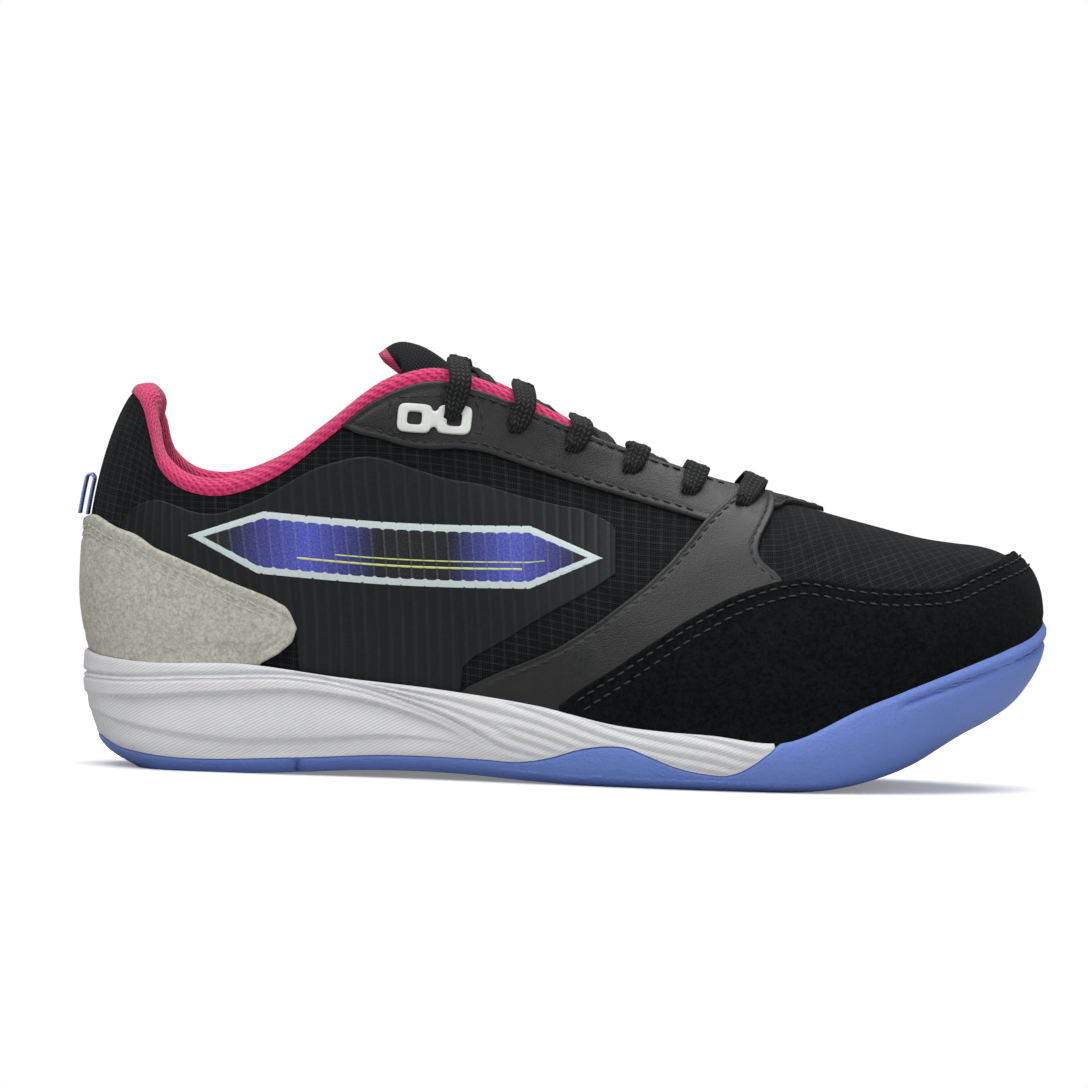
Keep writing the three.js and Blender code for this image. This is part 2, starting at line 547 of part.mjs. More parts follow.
// Sole unit.
add("outsole", soleLoft(outsoleSide), "blueRubber");
add("midsole", soleLoft(midsoleSide), "whiteFoam");
const PLATE_DEPTH = LINING_IN - LAYER_GAP;
add("lasting_board", innerPlate(PLATE_DEPTH, BOARD_CLEAR, BOARD_THICK), "board");
const sockBottom = BOARD_CLEAR + BOARD_THICK + LAYER_GAP;
add("sockliner_foam", innerPlate(PLATE_DEPTH - SOCK_CLEAR, sockBottom, SOCK_FOAM, 3), "foam");
const coverBottom = sockBottom + SOCK_FOAM + LAYER_GAP;
add("sockliner_cover",
  innerPlate(PLATE_DEPTH - SOCK_CLEAR, coverBottom, SOCK_CLOTH, 3, 3), "pinkMesh");

// Layers of the upper. Every piece of one side has a twin on the other.
const zero = () => -0.3;
const one = () => 1;
function onSides(name, finish, from, to, low, high, deep, shallow, extra = [], holes = () => []) {
  const sides = [["lateral", from, to], ["medial", LOOP - to, LOOP - from]];
  for (const [side, a, b] of sides) {
    const marks = side === "lateral" ? extra : extra.map((u) => LOOP - u);
    add(name + "_" + side, cut(panel(a, b, low, high, deep, shallow, marks), ...holes(side)), finish);
  }
}
const eyeletAt = EYELETS.map(sizedSide).map(locate);
function eyeletHoles(side, list = eyeletAt) {
  return list.map(([u, h]) => {
    const U = side === "lateral" ? u : LOOP - u;
    const pin = new THREE.CylinderGeometry(EYELET_R, EYELET_R, 16, EYELET_SIDES).toNonIndexed();
    pin.deleteAttribute("uv");
    pin.deleteAttribute("normal");
    const turn = new THREE.Quaternion().setFromUnitVectors(new THREE.Vector3(0, 1, 0), normal(U, h));
    const at = layer(U, h, -1);
    return pin.applyQuaternion(turn).translate(at.x, at.y, at.z);
  });
}
const QUARTER_END = THROAT_END - 0.02;
onSides("quarter_mesh", "blackMesh", 0.02, QUARTER_END, () => -1, one, -MESH_THICK, 0, [],
  (side) => eyeletHoles(side));
add("vamp_mesh", dome(THROAT_END + 0.02, TOE, () => -1, -MESH_THICK, 0), "blackMesh");
add("heel_overlay", panel(LOOP - heelEnd, LOOP + heelEnd, zero, heelHigh, OVERLAY_IN, OVERLAY_OUT,
  [LOOP + heelEnd - 0.2, LOOP - heelEnd + 0.2]), "greySuede");
add("toe_cap", panel(capStart, LOOP - capStart, zero, capHigh, OVERLAY_IN, OVERLAY_OUT,
  [...capSeam, ...capSeam.map((u) => LOOP - u), 10, LOOP - 10]), "blackSuede");
onSides("saddle", "blackLeather", saddleStart + 0.03, saddleFront,
  (u) => (u < capStart - CAP_STEP / 2 ? -0.3 : capHigh(u) + SEAM), saddleHigh, OVERLAY_IN, OVERLAY_OUT,
  [...saddleRear.map(([u]) => u), ...capSeam, capStart - CAP_STEP], (side) => eyeletHoles(side));
onSides("eyestay", "blackLeather", eyestayLow[0][0], eyestayEnd,
  (u) => Math.max(eyestayBelow(u), u > saddleStart ? saddleHigh(u) + SEAM : 0), one,
  OVERLAY_IN, OVERLAY_OUT, someOf(eyestayLow), (side) => eyeletHoles(side));
add("throat_patch", dome(THROAT_END + 0.08, PATCH_END, linear([[9.4, 0.86], [PATCH_END, 0.97]]),
  OVERLAY_IN, OVERLAY_OUT), "blackLeather");
const filmFrontEnd = filmFront.at(-1)[0];
const filmLow = (u) => {
  if (u < heelEnd + 0.02) return heelHigh(u) + FILM_SEAM;
  if (u > filmFront[0][0]) return linear(filmFront)(u);
  return -0.3;
};
onSides("side_film", "sideFilm", filmTop[0][0] + 0.05, Math.min(filmTop.at(-1)[0], filmFrontEnd),
  filmLow, linear(filmTop), FILM_IN, FILM_IN + FILM_THICK, [heelEnd + 0.02, heelEnd + 0.06]);

// Stiffeners, foam and linings inside the upper.
add("heel_counter", panel(LOOP - COUNTER_END, LOOP + COUNTER_END, () => -0.9,
  linear([[0, 0.62], [3, 0.5], [COUNTER_END, 0.2]]), BACKER_IN, BACKER_OUT), "board");
add("toe_puff", panel(PUFF_START, LOOP - PUFF_START, () => -0.9,
  linear([[PUFF_START, 0.4], [TOE, 0.6]]), BACKER_IN, BACKER_OUT), "board");
// The collar's edge: offsets from the upper's top edge, [depth, height], from the outside over the
// crown to the inside. It is a padded roll round the ankle, a thin roll beside the tongue, and a flat
// binding along the throat. Below the edge the offsets run down the wall.
const ROLL = [
  [-0.2, 0.4], [-0.4, 3], [-3.4, 4.7], [-6.6, 3], [-7.6, -4], [-7.2, -14], [-5.6, -23],
  [LINING_IN, -31],
];
const THIN_ROLL = [
  [-0.2, 0.4], [-0.4, 3], [-2, 4.3], [-3.6, 3], [LINING_IN, -4], [LINING_IN, -14],
  [LINING_IN, -23], [LINING_IN, -31],
];
const BINDING = [
  [LINING_OUT, -0.4], [LINING_OUT - 0.3, -0.4], [LINING_OUT - 0.5, -0.4], [LINING_IN, -0.4],
  [LINING_IN, -4], [LINING_IN, -14], [LINING_IN, -23], [LINING_IN, -31],
];
const BINDING_BACK = [-0.4, -0.8, -1.2, -1.6, -4, -14, -23, -31].map((z) => [LINING_OUT, z]);
const mixRows = (a, b, t) => a.map(([d, z], i) => [d + (b[i][0] - d) * t, z + (b[i][1] - z) * t]);
// A row of offsets moved towards the foam by a distance.
const insetRow = (row, inset) =>
  row.map(([d, z], i) => {
    const [a, b] = [row[Math.max(i - 1, 0)], row[Math.min(i + 1, row.length - 1)]];
    const l = Math.hypot(b[0] - a[0], b[1] - a[1]);
    return [d - (inset * (b[1] - a[1])) / l, z + (inset * (b[0] - a[0])) / l];
  });
// A point of the collar at U: height is up from the top edge, or down the wall if below it.
function collarPoint(U, depth, height) {
  const wall = vec(top(U)).distanceTo(vec(feather(U)));
  const p = layer(U, clamp(1 + Math.min(height, 0) / wall, 0, 1), depth);
  const up = face(U, 1).sub(face(U, 0.93)).normalize();
  return height > 0 ? p.addScaledVector(up, height) : p;
}
function collarRow(U, inset) {
  const u = station(U);
  const padded = mixRows(insetRow(THIN_ROLL, inset), insetRow(ROLL, inset), ease(THIN_AT - u));
  const flat = inset > 0 ? BINDING_BACK : BINDING;
  return mixRows(flat, padded, ease((ROLL_END - u) / 0.8)).map(([d, z]) => collarPoint(U, d, z));
}

const COLLAR_STATIONS = stations(LOOP - QUARTER_END, LOOP + QUARTER_END);
const liningTail = (U, inset) => {
  const from = 1 + ROLL.at(-1)[1] / vec(top(U)).distanceTo(vec(feather(U)));
  return [0.26, 0, -1].map((h) => layer(U, Math.min(h, from - 0.03), LINING_IN + inset));
};
const lining = loft(COLLAR_STATIONS.map((U) => [
  [...collarRow(U, LINING_THICK), ...liningTail(U, LINING_THICK)],
  [...collarRow(U, 0), ...liningTail(U, 0)],
]));
add("collar_lining", cut(lining, ...eyeletHoles("lateral"), ...eyeletHoles("medial")), "pinkMesh");
add("vamp_lining", dome(THROAT_END + 0.02, TOE, () => -1, LINING_IN, LINING_OUT), "blackMesh");
const foamRing = (U) => {
  const inner = collarRow(U, LINING_THICK + 1.5 * LAYER_GAP).slice(0, -1);
  const top = inner[0].clone().lerp(collarPoint(U, BACKER_OUT, -3), 0.5);
  const back = [top, ...ROLL.slice(1, -1).map(([, z]) => collarPoint(U, BACKER_OUT, Math.min(z, -4)))];
  return [inner, [inner[0], ...back.slice(1)]];
};
add("collar_foam", loft(stations(LOOP - FOAM_END, LOOP + FOAM_END).map(foamRing)), "foam");

// Tongue: a padded shell under the throat, running up past the collar.
const throatStation = linear(THROAT_X);
const tongueMiddle = (x) => centreY(throatStation(x / SX))[0];
// A narrower throat bends the tongue more, so that its edges stay as low under the rolls beside it.
const BEND = 1 / SY ** 2;
function tonguePlate(top, thick, narrow) {
  const ring = ([x, z, half, pad, crown]) => {
    const i = TONGUE.findIndex((row) => row[0] === x);
    const [a, b] = [TONGUE[Math.max(i - 1, 0)], TONGUE[Math.min(i + 1, TONGUE.length - 1)]];
    const up = new THREE.Vector3(b[1] - a[1], 0, a[0] - b[0]).normalize();
    const middle = new THREE.Vector3(x * SX, tongueMiddle(x * SX), z);
    const w = half * SY - narrow;
    const row = (depth) =>
      evenly(-1, 1, TONGUE_ROWS).map((q) => {
        const drop = crown * BEND * (w * q) ** 2;
        return middle.clone().addScaledVector(up, depth - drop).add(new THREE.Vector3(0, w * q, 0));
      });
    return [row(-top(pad)), row(-top(pad) - thick(pad))];
  };
  return loft(TONGUE.slice(narrow > 0 ? 1 : 0, narrow > 0 ? -1 : undefined).map(ring));
}
add("tongue_shell", tonguePlate(() => 0, () => TONGUE_SKIN, 0), "blackLeather");
add("tongue_foam",
  tonguePlate(() => TONGUE_SKIN + TONGUE_GAP, (pad) => pad, TONGUE_HEM), "foam");
add("tongue_lining",
  tonguePlate((pad) => TONGUE_SKIN + 2 * TONGUE_GAP + pad, () => LINING_THICK, TONGUE_HEM / 2), "pinkMesh");

// White plate round the two top eyelets of each side.
onSides("eyelet_plate", "clearPlastic", PLATE_FROM, PLATE_TO, linear(PLATE_LOW), linear(PLATE_HIGH),
  OVERLAY_OUT + LAYER_GAP, OVERLAY_OUT + LAYER_GAP + PLATE_THICK, [],
  (side) => eyeletHoles(side, [eyeletAt[0]]));

// Pull loop: a hairpin of tape standing up from the heel, clear of the mesh behind it.
function pullLoop() {
  const rise = 1 / vec(top(0)).distanceTo(vec(feather(0)));
  const base = heelHigh(0) + SEAM;
  const runs = [LOOP_CLEAR, LOOP_CLEAR + LOOP_TAPE, LOOP_CLEAR + LOOP_TAPE + LOOP_OPEN];
  const inner = runs[1];
  const outer = runs[2];
  const path = [
    [inner, 0, -1], [inner, 0.8, -1], [inner + LOOP_OPEN / 2, 1, 0], [outer, 0.8, 1], [outer, 0, 1],
  ];
  const point = ([depth, t, side], skin, y) => {
    const p = layer(0, base + t * (LOOP_HEIGHT - LOOP_TAPE) * rise, depth + side * skin);
    if (side === 0) p.z += skin;
    return p.setY(y);
  };
  const half = LOOP_WIDTH / 2;
  const ring = (skin) => [-half, half].map((y) => path.map((q) => point(q, skin, y)));
  const [in1, in2] = ring(0);
  const [out1, out2] = ring(LOOP_TAPE);
  return loft([0, 1, 2, 3, 4].map((i) => [[in1[i], in2[i]], [out1[i], out2[i]]]));
}
add("heel_pull_loop", pullLoop(), "navyTape");

// Lace: one flat cord through every eyelet from the outside, crossing over the tongue.
const LACE_OUT = OVERLAY_OUT + LACE_CLEAR + LACE_THICK / 2;
const LACE_IN = LINING_IN - 2 * LACE_CLEAR - LACE_THICK / 2;
const onSide = (side, u) => (side < 0 ? u : LOOP - u);
const tongueTop = linear([...TONGUE].reverse().map(([x, z]) => [x * SX, z]));
const tongueCrown = linear([...TONGUE].reverse().map(([x, , , , crown]) => [x * SX, crown * BEND]));
const up = (x) => new THREE.Vector3(tongueTop(x - 4) - tongueTop(x + 4), 0, 8).normalize();
function overTongue(x, y, lift) {
  const drop = tongueCrown(x) * (y - tongueMiddle(x)) ** 2;
  const z = tongueTop(x) - drop + LACE_FLOAT + LACE_THICK / 2 + lift;
  return { p: new THREE.Vector3(x, y, z), n: up(x), w: LACE_WIDTH };
}
const onWall = (side, u, h, depth) => ({
  p: layer(onSide(side, u), h, depth), n: normal(onSide(side, u), h), w: LACE_WIDTH,
});
// Over the top edge of the upper, clear of the collar's roll.
function aboveEdge(side, u, extra = 0) {
  const U = onSide(side, u);
  const rise = THIN_ROLL[2][1] * ease((ROLL_END - u) / 0.8) + LACE_CLEAR * 4 + LACE_THICK / 2 + extra;
  const n = normal(U, 1).add(face(U, 1).sub(face(U, 0.93)).normalize()).normalize();
  return { p: collarPoint(U, THIN_ROLL[2][0] + 0.6, rise), n, w: LACE_WIDTH };
}
function throughHole(side, row, outTop) {
  const [u, h] = eyeletAt[row];
  const U = onSide(side, u);
  const down = face(U, h - 0.03).sub(face(U, h)).normalize();
  const hole = evenly(outTop + 0.3, LINING_IN - 0.2, 2).map((d) => (
    { p: layer(U, h, d), n: down, w: LACE_BUNCHED, hole: true, outside: normal(U, h) }));
  return hole;
}
// From the outside of one eyelet, over the tongue, to the inside of the next one on the far side.
function crossing(side, row, lift) {
  const [[u0, h0], [u1, h1]] = [eyeletAt[row], eyeletAt[row + 1]];
  const du = u1 - u0;
  const rail = row === 0 ? LACE_OUT + LAYER_GAP + PLATE_THICK : LACE_OUT;
  const over = aboveEdge(side, u0 + 0.1 * du);
  const under = onWall(-side, u0 + 0.9 * du, 0.985, LACE_IN);
  const middle = (over.p.y + under.p.y) / 2;
  const half = Math.abs(over.p.y - under.p.y) / 2;
  const at = (share, l) => {
    const x = under.p.x + (over.p.x - under.p.x) * (0.5 + share / 2);
    return overTongue(x, middle + side * share * half, l);
  };
  return [
    onWall(side, u0 + 0.05 * du, h0 + (1 - h0) * 0.45, rail),
    onWall(side, u0 + 0.09 * du, 1, rail + LACE_CLEAR), over,
    at(0.66, 1.8 + 2.6 * ease((ROLL_END - u0) / 0.8) + lift * 0.5), at(0.34, lift * 0.9), at(0, lift), at(-0.34, lift * 0.7),
    at(-0.7, lift * 0.2), under,
    onWall(-side, u1 - 0.03 * du, h1 + (1 - h1) * 0.5, LACE_IN),
  ];
}
function lacePath() {
  const last = eyeletAt.length - 1;
  const tops = (row) => (row === 0 ? OVERLAY_OUT + LAYER_GAP + PLATE_THICK : OVERLAY_OUT);
  const tail = (side) => {
    const [u, h] = eyeletAt[0];
    return LACE_TAIL.map(([du, dh]) => onWall(side, u + du, h + dh, LACE_IN));
  };
  const path = [...tail(-1).reverse(), ...throughHole(-1, 0, tops(0)).reverse()];
  let side = -1;
  for (let row = 0; row < last; row++) {
    path.push(...crossing(side, row, 0));
    side = -side;
    path.push(...throughHole(side, row + 1, tops(row + 1)).reverse());
  }
  const [u, h] = eyeletAt[last];
  const bar = (s) => [
    onWall(s, u + 0.08, h + (1 - h) * 0.5, LACE_OUT + LACE_CLEAR),
    onWall(s, u + 0.17, 1, LACE_OUT + 3 * LACE_CLEAR),
    aboveEdge(s, u + 0.22, 2 * LACE_CLEAR),
  ];
  const ends = [bar(side), bar(-side)];
  const mid = ends[0][2].p.clone().lerp(ends[1][2].p, 0.5);
  path.push(...ends[0], overTongue(mid.x, mid.y, 2.4), ...ends[1].reverse());
  side = -side;
  path.push(...throughHole(side, last, OVERLAY_OUT));
  for (let row = last - 1; row >= 0; row--) {
    side = -side;
    path.push(...crossing(side, row, LACE_THICK + LACE_CLEAR).reverse());
    path.push(...throughHole(side, row, tops(row)));
  }
  path.push(...tail(side));
  return path;
}
// A flat ribbon along a path of points, turning over each time it rounds the edge of an eyelet.
function ribbon(path, samples, thick) {
  const curve = new THREE.CatmullRomCurve3(path.map((q) => q.p), false, "centripetal");
  let turned = 1;
  const flats = path.map((q, i) => {
    const n = q.n.clone().multiplyScalar(turned);
    const [before, after] = [path[i - 1], path[i + 1]];
    if (!q.hole || !after) return n;
    const entering = q.p.clone().sub(before.p).dot(q.outside) < 0;
    if (!entering) n.negate();
    if (!after.hole && !q.straight) turned = -turned;
    return n;
  });
  const rings = [];
  const last = path.length - 1;
  for (let i = 0; i <= last * samples; i++) {
    const t = i / (last * samples);
    const k = Math.min(Math.floor(i / samples), last - 1);
    const f = i / samples - k;
    const p = curve.getPoint(t);
    const along = curve.getTangent(t);
    const n = flats[k].clone().lerp(flats[k + 1], f);
    n.addScaledVector(along, -n.dot(along)).normalize();
    const across = new THREE.Vector3().crossVectors(along, n);
    const w = (path[k].w + (path[k + 1].w - path[k].w) * f) / 2;
    const corner = (a, b) =>
      p.clone().addScaledVector(across, a * w).addScaledVector(n, (b * thick) / 2);
    rings.push([[corner(-1, 1), corner(1, 1)], [corner(-1, -1), corner(1, -1)]]);
  }
  return loft(rings);
}
add("lace", ribbon(lacePath(), 1, LACE_THICK), "blackLace");

// The lace's plastic tips, past its two ends.
for (const [name, side] of [["lateral", -1], ["medial", 1]]) {
  const [u, h] = eyeletAt[0];
  const [[du1, dh1], [du2, dh2]] = LACE_TAIL.slice(-2);
  const end = onWall(side, u + du2, h + dh2, LACE_IN);
  const along = end.p.clone().sub(onWall(side, u + du1, h + dh1, LACE_IN).p).normalize();
  const tip = new THREE.CylinderGeometry(AGLET_R, AGLET_R, AGLET_LENGTH, 8);
  tip.applyQuaternion(new THREE.Quaternion().setFromUnitVectors(new THREE.Vector3(0, 1, 0), along));
  const at = end.p.clone().addScaledVector(along, AGLET_LENGTH / 2 + LAYER_GAP);
  at.addScaledVector(end.n, -1);
  add("aglet_" + name, tip.translate(at.x, at.y, at.z), "clearPlastic");
}

// The origin goes to the middle of the shoe's box, on the floor.
const box = new THREE.Box3().setFromObject(shoe);
const middle = box.getCenter(new THREE.Vector3());
shoe.children.forEach((mesh) => mesh.geometry.translate(-middle.x, -middle.y, -box.min.z));

shoe.updateMatrixWorld(true);
export default shoe;
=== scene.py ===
"""A low court shoe for the right foot: its looks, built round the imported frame.

The upper is one curved face, drawn in millimetres with X from the heel (0) to the toe (285), the
outer side facing -Y and Z up. Every layer of it is a patch of that face, moved out along its normal.
A station u runs 0 at the heel to 14 at the toe along each side; U joins both sides into one loop,
0..14 on the outer (lateral) side and 14..28 on the inner (medial) side. A share h of the wall is 0
where the upper meets the sole and 1 at its top edge.
"""

import math

import bmesh
import bpy
import numpy as np
from bpy.props import FloatProperty, FloatVectorProperty, PointerProperty
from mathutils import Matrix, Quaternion, Vector


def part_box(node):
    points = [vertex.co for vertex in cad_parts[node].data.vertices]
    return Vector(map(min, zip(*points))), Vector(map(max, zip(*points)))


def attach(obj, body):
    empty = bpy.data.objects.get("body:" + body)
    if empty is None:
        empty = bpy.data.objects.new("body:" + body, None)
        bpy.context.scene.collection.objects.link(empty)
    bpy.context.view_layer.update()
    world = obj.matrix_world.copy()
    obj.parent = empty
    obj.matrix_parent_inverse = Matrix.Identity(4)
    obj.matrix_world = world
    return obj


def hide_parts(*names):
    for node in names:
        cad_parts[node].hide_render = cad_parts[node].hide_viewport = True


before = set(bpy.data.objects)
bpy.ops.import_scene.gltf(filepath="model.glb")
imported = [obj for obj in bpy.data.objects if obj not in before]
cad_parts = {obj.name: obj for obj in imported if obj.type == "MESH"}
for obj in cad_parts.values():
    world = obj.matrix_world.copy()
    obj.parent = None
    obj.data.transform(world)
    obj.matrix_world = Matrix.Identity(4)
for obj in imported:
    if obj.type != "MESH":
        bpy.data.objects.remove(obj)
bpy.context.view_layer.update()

bl_info = {
    "name": "Court Shoe",
    "version": (1, 0, 0),
    "blender": (4, 5, 0),
    "location": "3D View > Sidebar > Court Shoe",
    "description": "Builds the sole, upper, collar, tongue and lace of a court shoe",
    "category": "Mesh",
}

MM = 0.001
TOE = 14.0
LOOP = 2 * TOE

# ---------- the shoe's drawn shape, in millimetres ----------

# Where the upper meets the sole: (u, x, y, z).
FEATHER_LATERAL = [
    (0, 5.2, 0, 34), (1, 10.5, -15.5, 32.5), (2, 25, -26.5, 31.5), (3, 50, -30, 32),
    (4, 78, -31, 29), (5, 107, -33.5, 26.5), (6, 135, -39, 23), (7, 160, -44, 18),
    (8, 185, -47.1, 16.3), (9, 207, -46.3, 15), (10, 229, -41, 25.3), (11, 250, -31.5, 34),
    (12, 266, -19.5, 40.5), (13, 277.5, -6, 45.8), (14, 281.6, 8, 50),
]
FEATHER_MEDIAL = [
    (1, 10.5, 15.5, 32.5), (2, 25, 26.5, 31.5), (3, 50, 29.5, 32), (4, 78, 29.5, 29),
    (5, 107, 30, 26.5), (6, 134, 33.5, 23), (7, 159, 39.5, 18), (8, 184, 45, 16.3),
    (9, 208, 47.1, 16), (10, 232, 45, 26.5), (11, 254, 39.5, 35.5), (12, 270, 31, 42),
    (13, 279, 20.5, 46.8),
]
# The upper's top edge: collar, throat, then the ridge of the closed vamp. (u, x, y, z).
TOP_LATERAL = [
    (0, 14, 0, 109.5), (0.6, 15.5, -10, 109), (1, 18, -16, 106), (1.5, 20.5, -20.5, 98),
    (2, 24, -24.5, 88), (2.5, 32, -28, 82), (3, 44, -29.5, 81.2), (3.5, 58, -30, 87),
    (4, 72, -30, 98), (4.5, 86, -29.5, 109.5), (5, 101, -28, 115.2), (5.5, 115, -25.5, 113.2),
    (6, 130, -22, 107.9), (6.5, 145, -18.5, 102), (7, 159, -16, 97), (7.5, 173, -14, 92.5),
    (8, 186, -12.3, 88.4), (8.5, 196, -9, 86), (9, 203, -3, 84.5), (9.35, 206, 3, 83.8),
    (10, 218, 4.5, 80.5), (11, 234, 5.5, 76.6), (12, 246, 6.5, 73.8), (13, 253, 7, 72.6),
    (14, 256, 7.5, 72.3),
]
THROAT_END = 9.35
MEDIAL_COLLAR_RISE = 1.2
CENTRE_Y = [(0, 0), (3, 0.8), (5, 2), (9.35, 3), (14, 7.5)]
# How each wall curves between its two edges: (u, bulge, rise share, top reach, top drop).
WALL_SHAPE = [
    (0, -8.6, 0.3, 8.8, 11.5), (1, -6, 0.3, 6.5, 12), (2, -3.5, 0.35, 3.2, 15),
    (3, -3, 0.35, 1, 14), (4, -2.6, 0.35, 1.5, 20), (5, -2, 0.35, 5, 24),
    (6, -1.5, 0.36, 9, 21), (7, -1, 0.38, 13, 15), (8, -1, 0.42, 17, 9),
    (9, -1, 0.48, 24, 3), (10, -0.5, 0.56, 27, 0), (11, 0, 0.6, 24, 0),
    (12, 0, 0.66, 20, 0), (13, 0, 0.7, 17.5, 0), (14, 0, 0.74, 17, 0),
]
# The bed the foot's board lies on, and how far the upper turns in under its foot.
BED = [
    (5, 30.8), (25, 28.6), (50, 28.6), (78, 25.8), (107, 23.2), (135, 19.6), (160, 14.8),
    (185, 13.2), (207, 12), (229, 16), (250, 22.5), (266, 29), (277, 35), (282, 37.5),
]
TUCK = [(0, 0), (7, 0), (8, 0), (8.9, 0.1), (10, 1.5), (11, 3), (12, 4), (13, 5), (14, 5.5)]
# Underside of the sole and top of its blue wall, along the length: (x, z).
UNDERSIDE = [
    (0, 0), (52, 0), (67, 0.8), (84, 1.9), (100, 2.2), (116, 1.8), (134, 0.7), (148, 0.1),
    (156, 0), (202, 0), (210, 0.1), (222, 1.2), (233, 3.7), (244, 7.5), (255, 12.8),
    (267, 19.7), (276, 27), (285, 38),
]
OUTSOLE_WALL_TOP = [
    (0, 10), (7, 9.2), (13, 6.2), (20, 5), (66, 5.2), (92, 6.8), (120, 6.6), (132, 6.4),
    (140, 8), (148, 10.6), (156, 12), (162, 11.8), (168, 9.6), (176, 6.6), (184, 5), (192, 5),
    (197, 7.5), (202, 11.5), (207, 16), (211, 18),
]
WHOLE_WALL = 9.4  # ahead of this station the blue rubber takes the whole wall
# Stand-out of the sole's wall past the feather line: (share of its height, heel, side, toe).
WALL = [
    (0, -14, -5, -26.5), (0.1, -6.6, -1.6, -20), (0.2, -2.6, 0, -13.6), (0.35, -0.5, 1.4, -6),
    (0.5, 1.9, 2.4, -1.6), (0.7, 3.3, 3.3, 2.2), (0.92, 3.4, 3.4, 3.4), (1, 3.3, 3.3, 3.3),
]
TREAD_THICK = 3.5
CUP_WALL = 2.4
BOARD_CLEAR = 0.3
BOARD_THICK = 1.8
SOCK_FOAM = 4.0
SOCK_CLOTH = 0.8
LAYER_GAP = 0.4
LIP_IN = 2.4  # where the sole's lip stands, past the feather line

# The tongue's middle line over its outer face: (x, z, half width, thickness, crown).
TONGUE = [
    (206, 75, 11, 5, 0.022), (196, 80, 14, 5.4, 0.024), (183, 84.4, 16.5, 5.8, 0.026),
    (168, 90.2, 19, 6.4, 0.026), (152, 96.8, 22, 6.8, 0.024), (136, 104, 23, 7.4, 0.027),
    (121, 110.6, 23, 8, 0.028), (111, 116.6, 22.5, 9, 0.024), (104, 122.4, 22, 10, 0.018),
    (97, 126, 21.5, 9.6, 0.014), (90, 126.2, 20, 8.4, 0.012), (85.5, 123, 16, 5, 0.01),
]

TONGUE_SEWN_X = 196  # ahead of here the tongue is sewn down
# Stations of the throat along the length: (x, u).
THROAT_X = [(85, 4.5), (101, 5), (130, 6), (159, 7), (186, 8), (206, 9.35)]

# Outlines on the side view: (x, z).
HEEL_SUEDE_TOP = [
    (2.2, 72.2), (5.2, 73.4), (11.2, 70.5), (22.3, 65.4), (30.2, 62), (37.1, 59.2), (45.1, 55.8),
    (53.7, 52.7), (59.4, 50.2), (63.2, 47.2), (65.2, 43),
]
HEEL_SUEDE_UNDER = [(65.2, 42.6), (64.1, 38.8), (60, 35.2), (55.1, 32.4)]
TOE_CAP_TOP = [
    (142, 23.2), (147.7, 27.8), (157.5, 34.3), (168.7, 42.1), (179.6, 49.3), (188.8, 54.4),
    (196.4, 57.6), (204, 60), (210, 60.8), (216.5, 60.5), (224.5, 59.4), (234.1, 58.6),
    (243.6, 58.8), (253.7, 60.2),
]
TOE_CAP_TIP = [(12, 0.43), (13, 0.53), (14, 0.58)]  # (u, h)
SADDLE_REAR = [
    (113.3, 26.6), (123.9, 32), (132.7, 35.7), (140.5, 39.4), (151.4, 46.6), (159.7, 53.1),
    (165.7, 58), (171.7, 64), (177.1, 70.3), (182.5, 77.2), (187.5, 82), (191, 84.8),
]
SADDLE_FRONT = [
    (206.4, 58), (203.3, 62.3), (199.6, 65.2), (198.2, 68), (198.4, 71), (200.1, 75.1),
    (202.1, 79.7), (202.6, 82.6),
]
EYESTAY_LOW = [
    (76, 102.6), (81.1, 99.4), (88.5, 97.9), (95.9, 96), (103.2, 95.5), (110.5, 95.8),
    (117.9, 95), (125.2, 92.8), (135, 89.7), (145.1, 86.7), (154.9, 84.1), (163.2, 81.9),
    (174.6, 78.9), (186, 76),
]
FILM_TOP = [
    (13.3, 71.6), (16.2, 75.5), (20.1, 77.9), (23.9, 78.6), (28.5, 77.3), (36.5, 75.2), (42.1, 75.4),
    (47.7, 77.4), (55.4, 81), (60.9, 84.4), (68.8, 89), (77.5, 92), (87.6, 92.8), (98.5, 89.8),
    (106, 87.7), (115.7, 86.2), (128.1, 83.1), (140.4, 80.5), (146.3, 79.6), (152, 77.4),
    (156.7, 73.6), (159.2, 68), (157.6, 61.8),
]
FILM_FRONT = [
    (113.5, 32.8), (117, 36.3), (125.1, 41), (132.3, 45.9), (140.1, 50.7), (151, 57), (157.3, 61.6),
]
THROAT_PATCH_LOW = [(8.62, 0.86), (8.9, 0.84), (9.2, 0.87), (9.6, 0.935), (9.85, 0.975), (10, 0.997)]
PLATE_WINDOW = [(90.2, 110.2), (90.8, 100), (117.2, 100.6), (116.4, 106.4), (113.6, 111.6)]
PLATE_RINGS = [(97.4, 104.3), (108.6, 104.0)]
EYELETS = [(107.7, 105), (126.4, 101.4), (143, 96.2), (160, 90.4), (177.4, 84.6), (193.2, 81.2)]

# Depths of the layers, outwards from the face of the mesh.
MESH_THICK = 1.2
LEATHER = (0.25, 1.5)
SADDLE_DEPTH = (0.4, 1.85)
CAP_DEPTH = (0.8, 2.6)
HEEL_DEPTH = (0.45, 2.1)
PATCH_DEPTH = (0.05, 1.5)
FILM_DEPTH = (0.12, 0.5)
PLATE_DEPTH = (1.5, 3.1)
LINING_IN = -4.0
INSOLE_DEPTH = -5.8  # side of the sockliner, from the feather line

# Rows of stitches along the overlays, in millimetres from their edges.
HEEL_SEAMS = (3.4, 5.6)
CAP_SEAMS = (2.4, 5.6)
SADDLE_SEAM = 2.2
EYESTAY_SEAM = 2.3
PATCH_SEAM = 2.2

